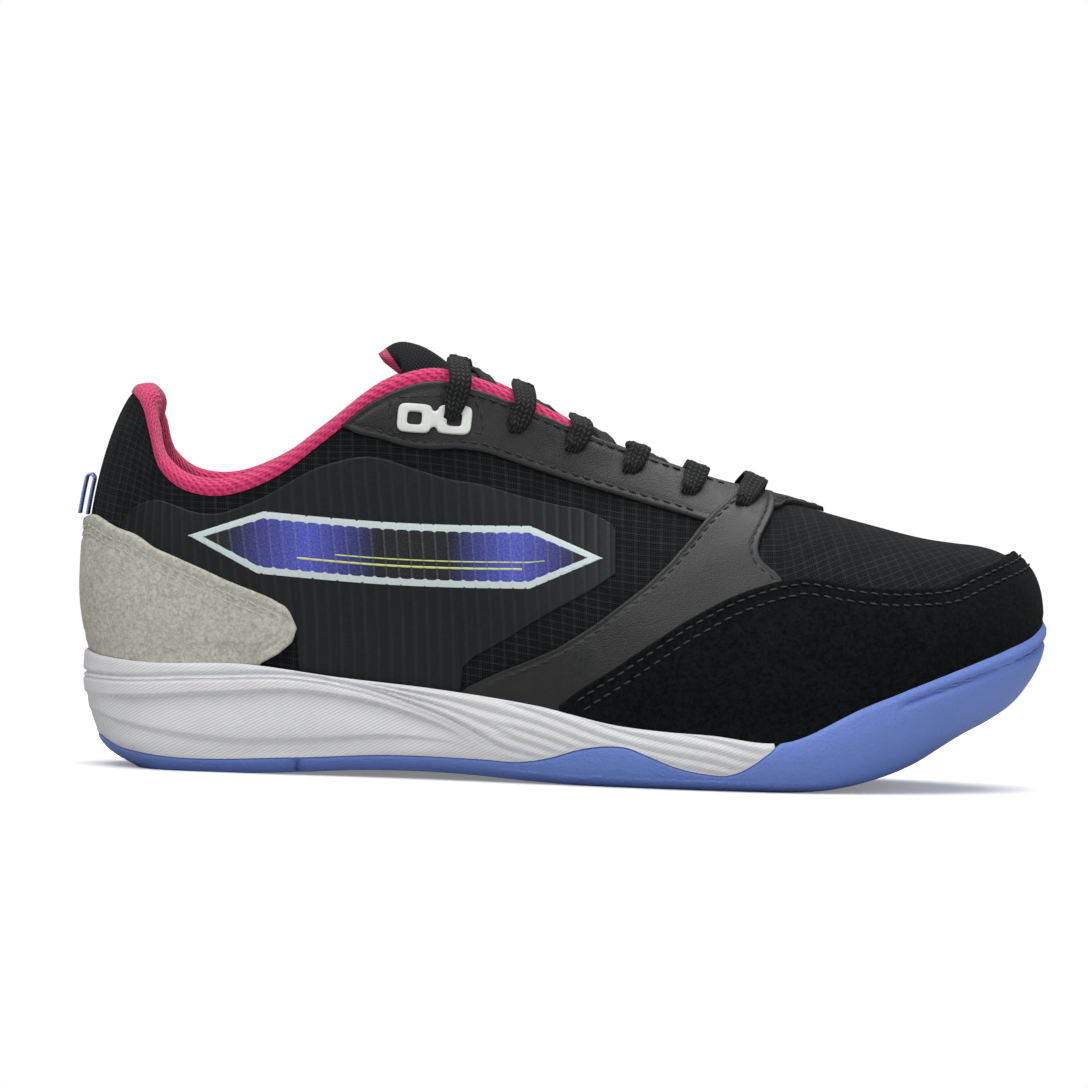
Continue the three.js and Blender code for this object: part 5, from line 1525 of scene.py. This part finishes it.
def build_pull_loop(finishes):
    """A hairpin of tape sewn to the heel's back, its two runs a small gap apart."""
    base_h = edge_of(HEEL_SUEDE_TOP)[0][1] + 0.012
    wall = float(np.linalg.norm(top(0.0) - feather(0.0)))
    inner, outer = LOOP_CLEAR + LOOP_TAPE / 2, LOOP_CLEAR + LOOP_TAPE * 1.5 + LOOP_OPEN
    count = 12
    straight = np.linspace(0, 1, count)
    arch = np.linspace(0, math.pi, 14)[1:-1]
    radius = (outer - inner) / 2
    reach = LOOP_HEIGHT - LOOP_TAPE - radius
    bend = inner + radius - radius * np.cos(arch)
    depth = np.concatenate([np.full(count, inner), bend, np.full(count, outer)])
    rise = np.concatenate([straight * reach, reach + radius * np.sin(arch), straight[::-1] * reach])
    facing = np.concatenate([np.full(count, -1.0), -np.cos(arch), np.full(count, 1.0)])
    upward = np.concatenate([np.zeros(count), np.sin(arch), np.zeros(count)])
    U = np.zeros(len(depth))
    h = base_h + rise / wall
    centre = layer(U, h, depth)
    out = normal(U, h)
    flat = out * facing[:, None] + np.array([0, 0, 1.0]) * upward[:, None]
    piece = strap("heel_pull_tape", centre, flat, LOOP_WIDTH, LOOP_TAPE * 0.95, finishes["tape"],
                  "pull_loop")
    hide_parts("heel_pull_loop")


def one(value):
    return np.array([float(value)])


def tongue_line(x):
    rows = np.array(TONGUE)[::-1]
    return np.interp(x, rows[:, 0], rows[:, 1]), np.interp(x, rows[:, 0], rows[:, 4])


def over_tongue(x, y, lift):
    z, crown = tongue_line(x)
    throat = np.interp(x, *np.transpose(THROAT_X))
    drop = crown * (y - float(centre_y(throat))) ** 2
    before, after = tongue_line(x - 4)[0], tongue_line(x + 4)[0]
    facing = unit(np.array([before - after, 0, 8.0]))
    return np.array([x, y, z - drop + LACE_FLOAT + lift]), facing, False


def on_wall(side, u, h, depth):
    U = one(u if side < 0 else LOOP - u)
    return layer(U, one(h), one(depth))[0], normal(U, one(h))[0], False


def above_edge(side, u, extra=0.0):
    U = one(u if side < 0 else LOOP - u)
    rise = 4.3 * float(ease((ROLL_END - u) / 0.8)) + 3.05 + extra
    up = unit(face(U, one(1))[0] - face(U, one(0.93))[0])
    return collar_point(U, one(-1.4), one(rise))[0], unit(normal(U, one(1))[0] + up), False


def through_hole(side, spot, out_top):
    U, h = one(spot[0] if side < 0 else LOOP - spot[0]), one(spot[1])
    down = unit(face(U, h - 0.03)[0] - face(U, h)[0])
    outside = normal(U, h)[0]
    return [(layer(U, h, one(d))[0], down, outside) for d in (out_top + 0.3, -1.85, LINING_IN - 0.2)]


def crossing(side, spots, row, lift):
    """From over one edge, across the tongue and in under the next eyelet of the other side."""
    (u0, h0), (u1, h1) = spots[row], spots[row + 1]
    du = u1 - u0
    rail = LACE_OUT + (1.3 if row == 0 else 0)
    over = above_edge(side, u0 + 0.1 * du)
    under = on_wall(-side, u0 + 0.9 * du, 0.985, LACE_IN)
    middle = (over[0][1] + under[0][1]) / 2
    half = abs(over[0][1] - under[0][1]) / 2

    def at(share, up):
        x = under[0][0] + (over[0][0] - under[0][0]) * (0.5 + share / 2)
        return over_tongue(x, middle + side * share * half, up)

    padded = 1.8 + 2.6 * float(ease((ROLL_END - u0) / 0.8))
    return [
        on_wall(side, u0 + 0.05 * du, h0 + (1 - h0) * 0.45, rail),
        on_wall(side, u0 + 0.09 * du, 1, rail + 0.6),
        over, at(0.66, padded + lift * 0.5), at(0.34, lift * 0.9), at(0, lift), at(-0.34, lift * 0.7),
        at(-0.7, lift * 0.2), under,
        on_wall(-side, u1 - 0.03 * du, h1 + (1 - h1) * 0.5, LACE_IN),
    ]


def lace_path():
    """The lace's route: out of each eyelet, over the tongue and in under the next one across."""
    u, h = locate(EYELETS)
    spots = list(zip(u, h))
    last = len(spots) - 1

    def outside(row):
        return 3.0 if row == 0 else 1.7

    def tail(side):
        return [on_wall(side, spots[0][0] + du, spots[0][1] + dh, LACE_IN) for du, dh in LACE_TAIL]

    path = tail(-1)[::-1] + through_hole(-1, spots[0], outside(0))[::-1]
    side = -1
    for row in range(last):
        path += crossing(side, spots, row, 0)
        side = -side
        path += through_hole(side, spots[row + 1], outside(row + 1))[::-1]
    u_end, h_end = spots[last]

    def bar(s):
        return [on_wall(s, u_end + 0.08, h_end + (1 - h_end) * 0.5, LACE_OUT + 0.6),
                on_wall(s, u_end + 0.17, 1, LACE_OUT + 1.8), above_edge(s, u_end + 0.22, 1.2)]

    one_end, other_end = bar(side), bar(-side)
    mid = (one_end[2][0] + other_end[2][0]) / 2
    path += one_end + [over_tongue(mid[0], mid[1], 2.4)] + other_end[::-1]
    side = -side
    path += through_hole(side, spots[last], 1.7)
    for row in range(last - 1, -1, -1):
        side = -side
        path += crossing(side, spots, row, LACE_UNDER_LACE)[::-1]
        path += through_hole(side, spots[row], outside(row))
    return path + tail(side)


def build_lace(finishes):
    path = lace_path()
    points = np.array([p for p, _, _ in path])
    flats, turned = [], 1.0  # turned changes sign where the lace's other face comes up
    for i, (p, n, hole) in enumerate(path):
        facing = n * turned
        if hole is not False and i + 1 < len(path):
            if (p - path[i - 1][0]) @ hole >= 0:
                facing = -facing
            if path[i + 1][2] is False:
                turned = -turned
        flats.append(facing)
    gaps = np.sqrt(np.linalg.norm(np.diff(points, axis=0), axis=1))
    knots = np.concatenate([[0], np.cumsum(gaps)])
    curve = smooth([(k, *p) for k, p in zip(knots, points)])
    look = smooth([(k, *f) for k, f in zip(knots, flats)])
    wide = np.array([LACE_WIDTH if hole is False else LACE_BUNCHED for _, _, hole in path])
    spans = [np.linspace(a, b, 7)[:-1] for a, b in zip(knots[:-1], knots[1:])]
    s = np.concatenate(spans + [[knots[-1]]])
    width = np.interp(s, knots, wide)
    piece = strap("lace_braid", curve(s), look(s), width, LACE_THICK, finishes["lace"], "shoe", ribs=4)
    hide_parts("lace")


# ---------- stitching ----------

STITCH_SIDES = 6
# A stitch's shape along its length: (place, share of its radius).
STITCH = [(-0.5, 0.35), (-0.36, 0.85), (0, 1.0), (0.36, 0.85), (0.5, 0.35)]


def stitches(name, lines, material, long=2.5, gap=0.9, radius=0.3):
    """Rows of stitches; each line is (points, surface normals) along a seam, in millimetres."""
    ring = np.linspace(0, 2 * math.pi, STITCH_SIDES, endpoint=False)
    last = (len(STITCH) - 1) * STITCH_SIDES
    points, faces = [], []
    for line, out in lines:
        arc = arc_length(line)

        def along(at, values):
            return np.stack([np.interp(at, arc, values[:, k]) for k in range(3)], -1)

        count = max(int(arc[-1] / (long + gap)), 1)
        mids = (np.arange(count) + 0.5) * arc[-1] / count
        at = along(mids, line)
        run = unit(along(mids + 0.5, line) - along(mids - 0.5, line))
        n = unit(along(mids, out))
        n = unit(n - run * (n * run).sum(-1, keepdims=True))
        side = np.cross(run, n)
        for k in range(count):
            first = len(points)
            slant = unit(run[k] + 0.12 * side[k])
            round_it = [side[k] * math.cos(a) + n[k] * math.sin(a) for a in ring]
            for t, share in STITCH:
                sunk = -0.9 * radius * (abs(t) * 2) ** 3
                centre = at[k] + slant * (t * long) + n[k] * sunk
                points += [centre + way * radius * share for way in round_it]
            for i in range(len(STITCH) - 1):
                for j in range(STITCH_SIDES):
                    a = first + i * STITCH_SIDES + j
                    b = first + i * STITCH_SIDES + (j + 1) % STITCH_SIDES
                    faces.append([a, b, b + STITCH_SIDES, a + STITCH_SIDES])
            faces.append([first + j for j in range(STITCH_SIDES)][::-1])
            faces.append([first + last + j for j in range(STITCH_SIDES)])
    points = np.array(points)
    return make_smooth_piece(name, points, faces, [material], "shoe", np.zeros((len(points), 2)),
                             np.zeros(len(faces), int))


def seam(U, H, depth, inset, above=0.1):
    """A seam that runs beside an edge of the face, an inset away from it across the surface."""
    run = unit(np.gradient(face(U, H), axis=0))
    steps, reach = 8, 0.01
    for _ in range(steps):
        on_u = (face(U + reach, H) - face(U - reach, H)) / (2 * reach)
        on_h = (face(U, H + reach) - face(U, H - reach)) / (2 * reach)
        inward = np.cross(normal(U, H), run) * inset / steps
        a, b, c = (on_u * on_u).sum(-1), (on_u * on_h).sum(-1), (on_h * on_h).sum(-1)
        p, q = (on_u * inward).sum(-1), (on_h * inward).sum(-1)
        det = a * c - b * b
        U, H = U + (p * c - q * b) / det, H + (q * a - p * b) / det
    return layer(U, H, np.full_like(U, depth + above)), normal(U, H)


def drawn_edge(points, start, end, count):
    """Stations and shares along a drawn edge, between two of its points."""
    u, h = locate(points)
    fine = smooth([(i, a, b) for i, (a, b) in enumerate(zip(u, h))])(np.linspace(start, end, count))
    return fine[:, 0], fine[:, 1]


def build_stitching(finishes):
    dark, grey, rubber = [], [], []
    cap, stay = value_of(cap_knots()), value_of(edge_of(EYESTAY_LOW))
    patch_low, heel = value_of(THROAT_PATCH_LOW), value_of(edge_of(HEEL_SUEDE_TOP))
    for way in (1, -1):  # the outer side, then the inner one
        turn = same if way > 0 else (lambda U: LOOP - U)
        us = np.linspace(cap_knots()[0][0] + 0.15, TOE, 200)
        for inset in CAP_SEAMS:
            dark.append(seam(turn(us), cap(us), CAP_DEPTH[1], -way * inset, 0.0))
        us, hs = drawn_edge(SADDLE_REAR, 0.3, 11, 120)
        dark.append(seam(turn(us), hs, SADDLE_DEPTH[1], -way * SADDLE_SEAM, 0.0))
        us, hs = drawn_edge(SADDLE_FRONT, 0, 6.4, 40)
        dark.append(seam(turn(us), hs, SADDLE_DEPTH[1], way * SADDLE_SEAM, 0.0))
        us = np.linspace(4.35, 7.75, 160)
        dark.append(seam(turn(us), stay(us), LEATHER[1], way * EYESTAY_SEAM, 0.0))
        us = np.linspace(5.5, 8.1, 120)
        dark.append(seam(turn(us), np.full_like(us, 0.972), LEATHER[1], 0, 0.05))
        corners = np.array(PLATE_WINDOW + PLATE_WINDOW[:1])
        flat = [np.linspace(a, b, 14)[:-1] for a, b in zip(corners[:-1], corners[1:])]
        u, h = locate(np.concatenate(flat))
        dark.append((layer(turn(u), h, np.full_like(u, LEATHER[1] + 0.1)), normal(turn(u), h)))
        us = np.linspace(9.0, 9.97, 40)
        dark.append(seam(turn(us), patch_low(us), PATCH_DEPTH[1], way * PATCH_SEAM, 0.0))
        us = np.linspace(0.05, 3.5, 130)
        for inset in HEEL_SEAMS:
            grey.append(seam(turn(us), heel(us), HEEL_DEPTH[1], -way * inset, 0.0))
        U = turn(np.linspace(10.9, TOE, 90))
        groove = toe_groove(feather(U)[:, 0], sole_limits(U)[1])
        rubber.append((wall_at(U, groove, -0.55), outward(U)))
    piece = stitches("stitching_dark", dark, finishes["dark thread"])
    piece = stitches("stitching_heel", grey, finishes["grey thread"], radius=0.26)
    piece = stitches("stitching_toe_groove", rubber, finishes["rubber"], long=4.2, gap=1.0, radius=0.36)


def dress_inner_parts(finishes):
    """The parts inside the shoe keep their own shapes and take their real finishes."""
    for name, look, slot in (
            ("lasting_board", "board", "fibre_board"), ("heel_counter", "board", "fibre_board"),
            ("toe_puff", "board", "fibre_board"), ("sockliner_foam", "pad foam", "inner_foam"),
            ("vamp_lining", "pad foam", "black_mesh"), ("aglet_lateral", "plastic", "white_plastic"),
            ("aglet_medial", "plastic", "white_plastic")):
        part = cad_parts[name]
        part.data.materials.clear()
        part.data.materials.append(finishes[look])


# ---------- stage ----------

FLOOR_HALF = 0.5
FLOOR_BOUNCE = 0.5  # grey of the floor as it lights the shoe; the camera sees its own colour
FLOOR_GLOW = 0.22
# Soft square lights: (name, place, size in metres, power in watts), turned to one spot.
LIGHTS = (
    ("key_light", (-0.35, -0.75, 0.95), 0.9, 7.6),
    ("top_light", (0.15, 0.1, 1.1), 1.0, 11.5),
    ("front_light", (0.6, -1.0, 0.35), 0.7, 2.1),
)
LIT_AT = Vector((0, 0, 0.05))
FOCAL_LENGTH = 220
SENSOR_WIDTH = 36
LOOKED_AT = (136.0, 0, 68.6)  # in drawn millimetres


def build_stage(settings):
    """A pale floor, soft light from above and the front, and a level view of the outer side."""
    scene = bpy.context.scene
    scene.view_settings.view_transform = "Standard"
    floor_mesh = bpy.data.meshes.new("studio_floor")
    corners = [(x * FLOOR_HALF, y * FLOOR_HALF, 0) for x, y in ((-1, -1), (1, -1), (1, 1), (-1, 1))]
    floor_mesh.from_pydata(corners, [], [(0, 1, 2, 3)])
    floor = bpy.data.objects.new("studio_floor", floor_mesh)
    material, paper, shader = finish("studio paper", Roughness=0.9, Specular_IOR_Level=0.1)
    shader.inputs["Emission Color"].default_value = (1, 1, 1, 1)
    looked_at = node(paper, "ShaderNodeLightPath").outputs["Is Camera Ray"]
    base = tone(paper, looked_at, (FLOOR_BOUNCE,) * 3, tuple(settings.floor))
    paper.links.new(base, shader.inputs["Base Color"])
    glow = maths(paper, "MULTIPLY", looked_at, FLOOR_GLOW)
    paper.links.new(glow, shader.inputs["Emission Strength"])
    floor_mesh.materials.append(material)
    scene.collection.objects.link(floor)

    world = bpy.data.worlds.new("studio") if scene.world is None else scene.world
    scene.world = world
    world.use_nodes = True
    tree = world.node_tree
    sweep = tree.nodes["Background"]
    sweep.inputs["Color"].default_value = (1, 1, 1, 1)
    sweep.inputs["Strength"].default_value = 1.0
    sky = node(tree, "ShaderNodeBackground", {"Color": (1, 1, 1, 1), "Strength": settings.sky_strength})
    seen = node(tree, "ShaderNodeLightPath").outputs["Is Camera Ray"]
    mixed = node(tree, "ShaderNodeMixShader", {0: seen, 1: sky.outputs[0], 2: sweep.outputs[0]})
    tree.links.new(mixed.outputs[0], tree.nodes["World Output"].inputs["Surface"])

    for name, place, size, power in LIGHTS:
        lamp = bpy.data.lights.new(name, "AREA")
        lamp.size, lamp.energy = size, power
        holder = bpy.data.objects.new(name, lamp)
        holder.location = place
        holder.rotation_mode = "QUATERNION"
        holder.rotation_quaternion = (LIT_AT - Vector(place)).to_track_quat("-Z", "Y")
        scene.collection.objects.link(holder)

    lens = bpy.data.cameras.new("camera")
    lens.lens, lens.sensor_width = FOCAL_LENGTH, SENSOR_WIDTH
    camera = bpy.data.objects.new("camera", lens)
    target = (Vector(LOOKED_AT) + Vector(tuple(SHIFT))) * MM
    distance = settings.view_width / lens.sensor_width * lens.lens
    azimuth, elevation = settings.azimuth, settings.elevation
    back = Vector((math.sin(azimuth) * math.cos(elevation), -math.cos(azimuth) * math.cos(elevation),
                   math.sin(elevation)))
    camera.location = target + back * distance
    camera.rotation_mode = "QUATERNION"
    level = (-back).to_track_quat("-Z", "Y")
    camera.rotation_quaternion = level @ Quaternion((0, 0, 1), settings.roll)
    lens.clip_start, lens.clip_end = 0.05, 50
    scene.collection.objects.link(camera)
    scene.camera = camera


# ---------- settings ----------

def colour(name, code, about):
    return FloatVectorProperty(name=name, description=about, default=linear(code), size=3, min=0, max=1,
                               subtype="COLOR")


class ShoeColours(bpy.types.PropertyGroup):
    # The light mesh colour on the crests is the yarn with a painted highlight; the dark one is painted
    # shade between the yarns.
    mesh: colour("Mesh", "#32363A", "Raised yarns of the ripstop mesh")
    mesh_painted_shade: colour("Mesh ground", "#08090A", "Ground between the yarns of the mesh")
    grey_suede: colour("Heel suede", "#D0CEC2", "Raised nap of the heel's suede")
    grey_suede_dark: colour("Heel suede nap", "#A9A79B", "Depth of the heel suede's nap")
    black_suede: colour("Toe suede", "#15181A", "Raised nap of the toe cap's suede")
    black_suede_dark: colour("Toe suede nap", "#040505", "Depth of the toe suede's nap")
    leather: colour("Leather", "#191A1A", "Crests of the synthetic leather's grain")
    leather_dark: colour("Leather grain", "#101111", "Creases of the synthetic leather's grain")
    # The film's lighter colour shows along its streaks and, as a painted highlight, on the crests of the
    # ribs under it.
    film: colour("Film", "#212527", "Crests of the welded side film")
    film_dark: colour("Film ground", "#0C0E0F", "Ground of the welded side film")
    outline: colour("Print outline", "#D2DFE0", "Ink of the printed outline")
    smoke: colour("Print smoke", "#2B2D33", "Smoke grey of the printed fade")
    violet: colour("Print violet", "#6167CE", "Violet-blue of the printed fade")
    pinstripe: colour("Print line", "#D8E08A", "Ink of the thin printed lines")
    pink: colour("Lining", "#D5336C", "Raised face of the pink spacer mesh")
    # The lining's dark colour is painted shade in the spacer mesh's holes and grooves.
    pink_painted_shade: colour("Lining holes", "#A61B4E", "Holes of the pink spacer mesh")
    rubber: colour("Outsole", "#7591DE", "Clean face of the moulded rubber")
    rubber_dark: colour("Outsole shade", "#6B87D4", "Duller patches of the moulded rubber")
    # The midsole's second colour is painted shade in its engraved lines.
    foam: colour("Midsole", "#F0F0F2", "Crests of the moulded foam's lines")
    foam_painted_shade: colour("Midsole lines", "#DADADE", "Depth of the moulded foam's lines")
    # The lace's dark colour is painted shade between its yarns.
    lace: colour("Lace", "#38393B", "Crowns of the lace's yarns")
    lace_painted_shade: colour("Lace depth", "#090A0A", "Depth between the lace's yarns")
    tape: colour("Pull tape", "#2F3F86", "Face of the pull loop's tape")
    tape_edge: colour("Pull tape edge", "#8CA0E0", "Selvedge of the pull loop's tape")
    plastic: colour("Eyelet plate", "#E4E8E2", "Moulded eyelet plates")


class ShoeStage(bpy.types.PropertyGroup):
    floor: colour("Floor", "#FCFCFC", "The studio's paper floor")
    sky_strength: FloatProperty(name="Sky strength", description="Even light from all round",
                                default=0.26, min=0)
    view_width: FloatProperty(name="View width", description="Width of the view at the shoe",
                              default=0.32, unit="LENGTH")
    azimuth: FloatProperty(name="Azimuth", description="Turn of the view round the shoe", default=0.0,
                           subtype="ANGLE")
    elevation: FloatProperty(name="Elevation", description="Height of the view over the floor",
                             default=math.radians(1.3), subtype="ANGLE")
    roll: FloatProperty(name="Roll", description="Tilt of the view, toe down", default=math.radians(1.75),
                        subtype="ANGLE")


class SHOE_OT_stage(bpy.types.Operator):
    """Lays the floor, sets the lights and places the camera"""
    bl_idname = "shoe.stage"
    bl_label = "Studio"

    def execute(self, context):
        build_stage(context.scene.shoe_stage)
        return {"FINISHED"}


FINISHES = {}


class SHOE_OT_finishes(bpy.types.Operator):
    """Mixes the finishes that the shoe's pieces share, from the colours in the panel"""
    bl_idname = "shoe.finishes"
    bl_label = "Finishes"

    def execute(self, context):
        FINISHES.update(make_finishes(context.scene.shoe_colours))
        return {"FINISHED"}


class SHOE_OT_outsole(bpy.types.Operator):
    """Moulds the blue rubber outsole with its wave, toe wrap and tread"""
    bl_idname = "shoe.outsole"
    bl_label = "Outsole"

    def execute(self, context):
        build_outsole(FINISHES)
        return {"FINISHED"}


class SHOE_OT_midsole(bpy.types.Operator):
    """Moulds the white foam midsole with its bead and flowing ribs"""
    bl_idname = "shoe.midsole"
    bl_label = "Midsole"

    def execute(self, context):
        build_midsole(FINISHES)
        return {"FINISHED"}


class SHOE_OT_upper_mesh(bpy.types.Operator):
    """Knits the ribbed mesh that carries the whole upper"""
    bl_idname = "shoe.upper_mesh"
    bl_label = "Upper mesh"

    def execute(self, context):
        build_upper_mesh(FINISHES)
        return {"FINISHED"}


class SHOE_OT_overlays(bpy.types.Operator):
    """Lays the suede and leather overlays on the mesh"""
    bl_idname = "shoe.overlays"
    bl_label = "Overlays"

    def execute(self, context):
        build_overlays(FINISHES)
        build_throat_patch(FINISHES)
        return {"FINISHED"}


class SHOE_OT_film(bpy.types.Operator):
    """Welds the side film on both sides and prints its bar"""
    bl_idname = "shoe.film"
    bl_label = "Side film and print"

    def execute(self, context):
        build_film_and_print(FINISHES)
        return {"FINISHED"}


class SHOE_OT_eyelet_plates(bpy.types.Operator):
    """Moulds the white plates round the top eyelets"""
    bl_idname = "shoe.eyelet_plates"
    bl_label = "Eyelet plates"

    def execute(self, context):
        build_eyelet_plates(FINISHES)
        return {"FINISHED"}


class SHOE_OT_collar(bpy.types.Operator):
    """Sews the padded collar and the lining below it"""
    bl_idname = "shoe.collar"
    bl_label = "Collar"

    def execute(self, context):
        build_collar(FINISHES)
        return {"FINISHED"}


class SHOE_OT_tongue(bpy.types.Operator):
    """Stuffs the tongue"""
    bl_idname = "shoe.tongue"
    bl_label = "Tongue"

    def execute(self, context):
        build_tongue(FINISHES)
        return {"FINISHED"}


class SHOE_OT_sockliner(bpy.types.Operator):
    """Lays the sockliner's cloth top"""
    bl_idname = "shoe.sockliner"
    bl_label = "Sockliner"

    def execute(self, context):
        build_sockliner(FINISHES)
        return {"FINISHED"}


class SHOE_OT_pull_loop(bpy.types.Operator):
    """Folds the pull loop's tape"""
    bl_idname = "shoe.pull_loop"
    bl_label = "Pull loop"

    def execute(self, context):
        build_pull_loop(FINISHES)
        return {"FINISHED"}


class SHOE_OT_lace(bpy.types.Operator):
    """Threads the flat lace through every eyelet"""
    bl_idname = "shoe.lace"
    bl_label = "Lace"

    def execute(self, context):
        build_lace(FINISHES)
        return {"FINISHED"}


class SHOE_OT_stitching(bpy.types.Operator):
    """Sews the rows of stitches along the overlays"""
    bl_idname = "shoe.stitching"
    bl_label = "Stitching"

    def execute(self, context):
        build_stitching(FINISHES)
        return {"FINISHED"}


class SHOE_OT_inner_parts(bpy.types.Operator):
    """Gives the board, stiffeners, foam and lace tips their finishes"""
    bl_idname = "shoe.inner_parts"
    bl_label = "Inner parts"

    def execute(self, context):
        dress_inner_parts(FINISHES)
        return {"FINISHED"}


BUILDERS = (
    SHOE_OT_stage, SHOE_OT_finishes, SHOE_OT_outsole, SHOE_OT_midsole, SHOE_OT_upper_mesh,
    SHOE_OT_overlays, SHOE_OT_film, SHOE_OT_eyelet_plates, SHOE_OT_collar, SHOE_OT_tongue,
    SHOE_OT_sockliner, SHOE_OT_pull_loop, SHOE_OT_lace, SHOE_OT_stitching, SHOE_OT_inner_parts,
)


class SHOE_PT_panel(bpy.types.Panel):
    """Sizes, colours and pieces of the court shoe"""
    bl_idname = "SHOE_PT_panel"
    bl_label = "Court Shoe"
    bl_space_type = "VIEW_3D"
    bl_region_type = "UI"
    bl_category = "Court Shoe"

    def draw(self, context):
        for builder in BUILDERS:
            self.layout.operator(builder.bl_idname)
        for group in (context.scene.shoe_stage, context.scene.shoe_colours):
            box = self.layout.box()
            for key in group.__annotations__:
                box.prop(group, key)


CLASSES = (ShoeColours, ShoeStage, *BUILDERS, SHOE_PT_panel)


def register():
    for cls in CLASSES:
        bpy.utils.register_class(cls)
    bpy.types.Scene.shoe_colours = PointerProperty(type=ShoeColours)
    bpy.types.Scene.shoe_stage = PointerProperty(type=ShoeStage)


def unregister():
    del bpy.types.Scene.shoe_stage
    del bpy.types.Scene.shoe_colours
    for cls in reversed(CLASSES):
        bpy.utils.unregister_class(cls)


def main():
    register()
    for builder in BUILDERS:
        group, name = builder.bl_idname.split(".")
        getattr(getattr(bpy.ops, group), name)()


if __name__ == "__main__":
    main()
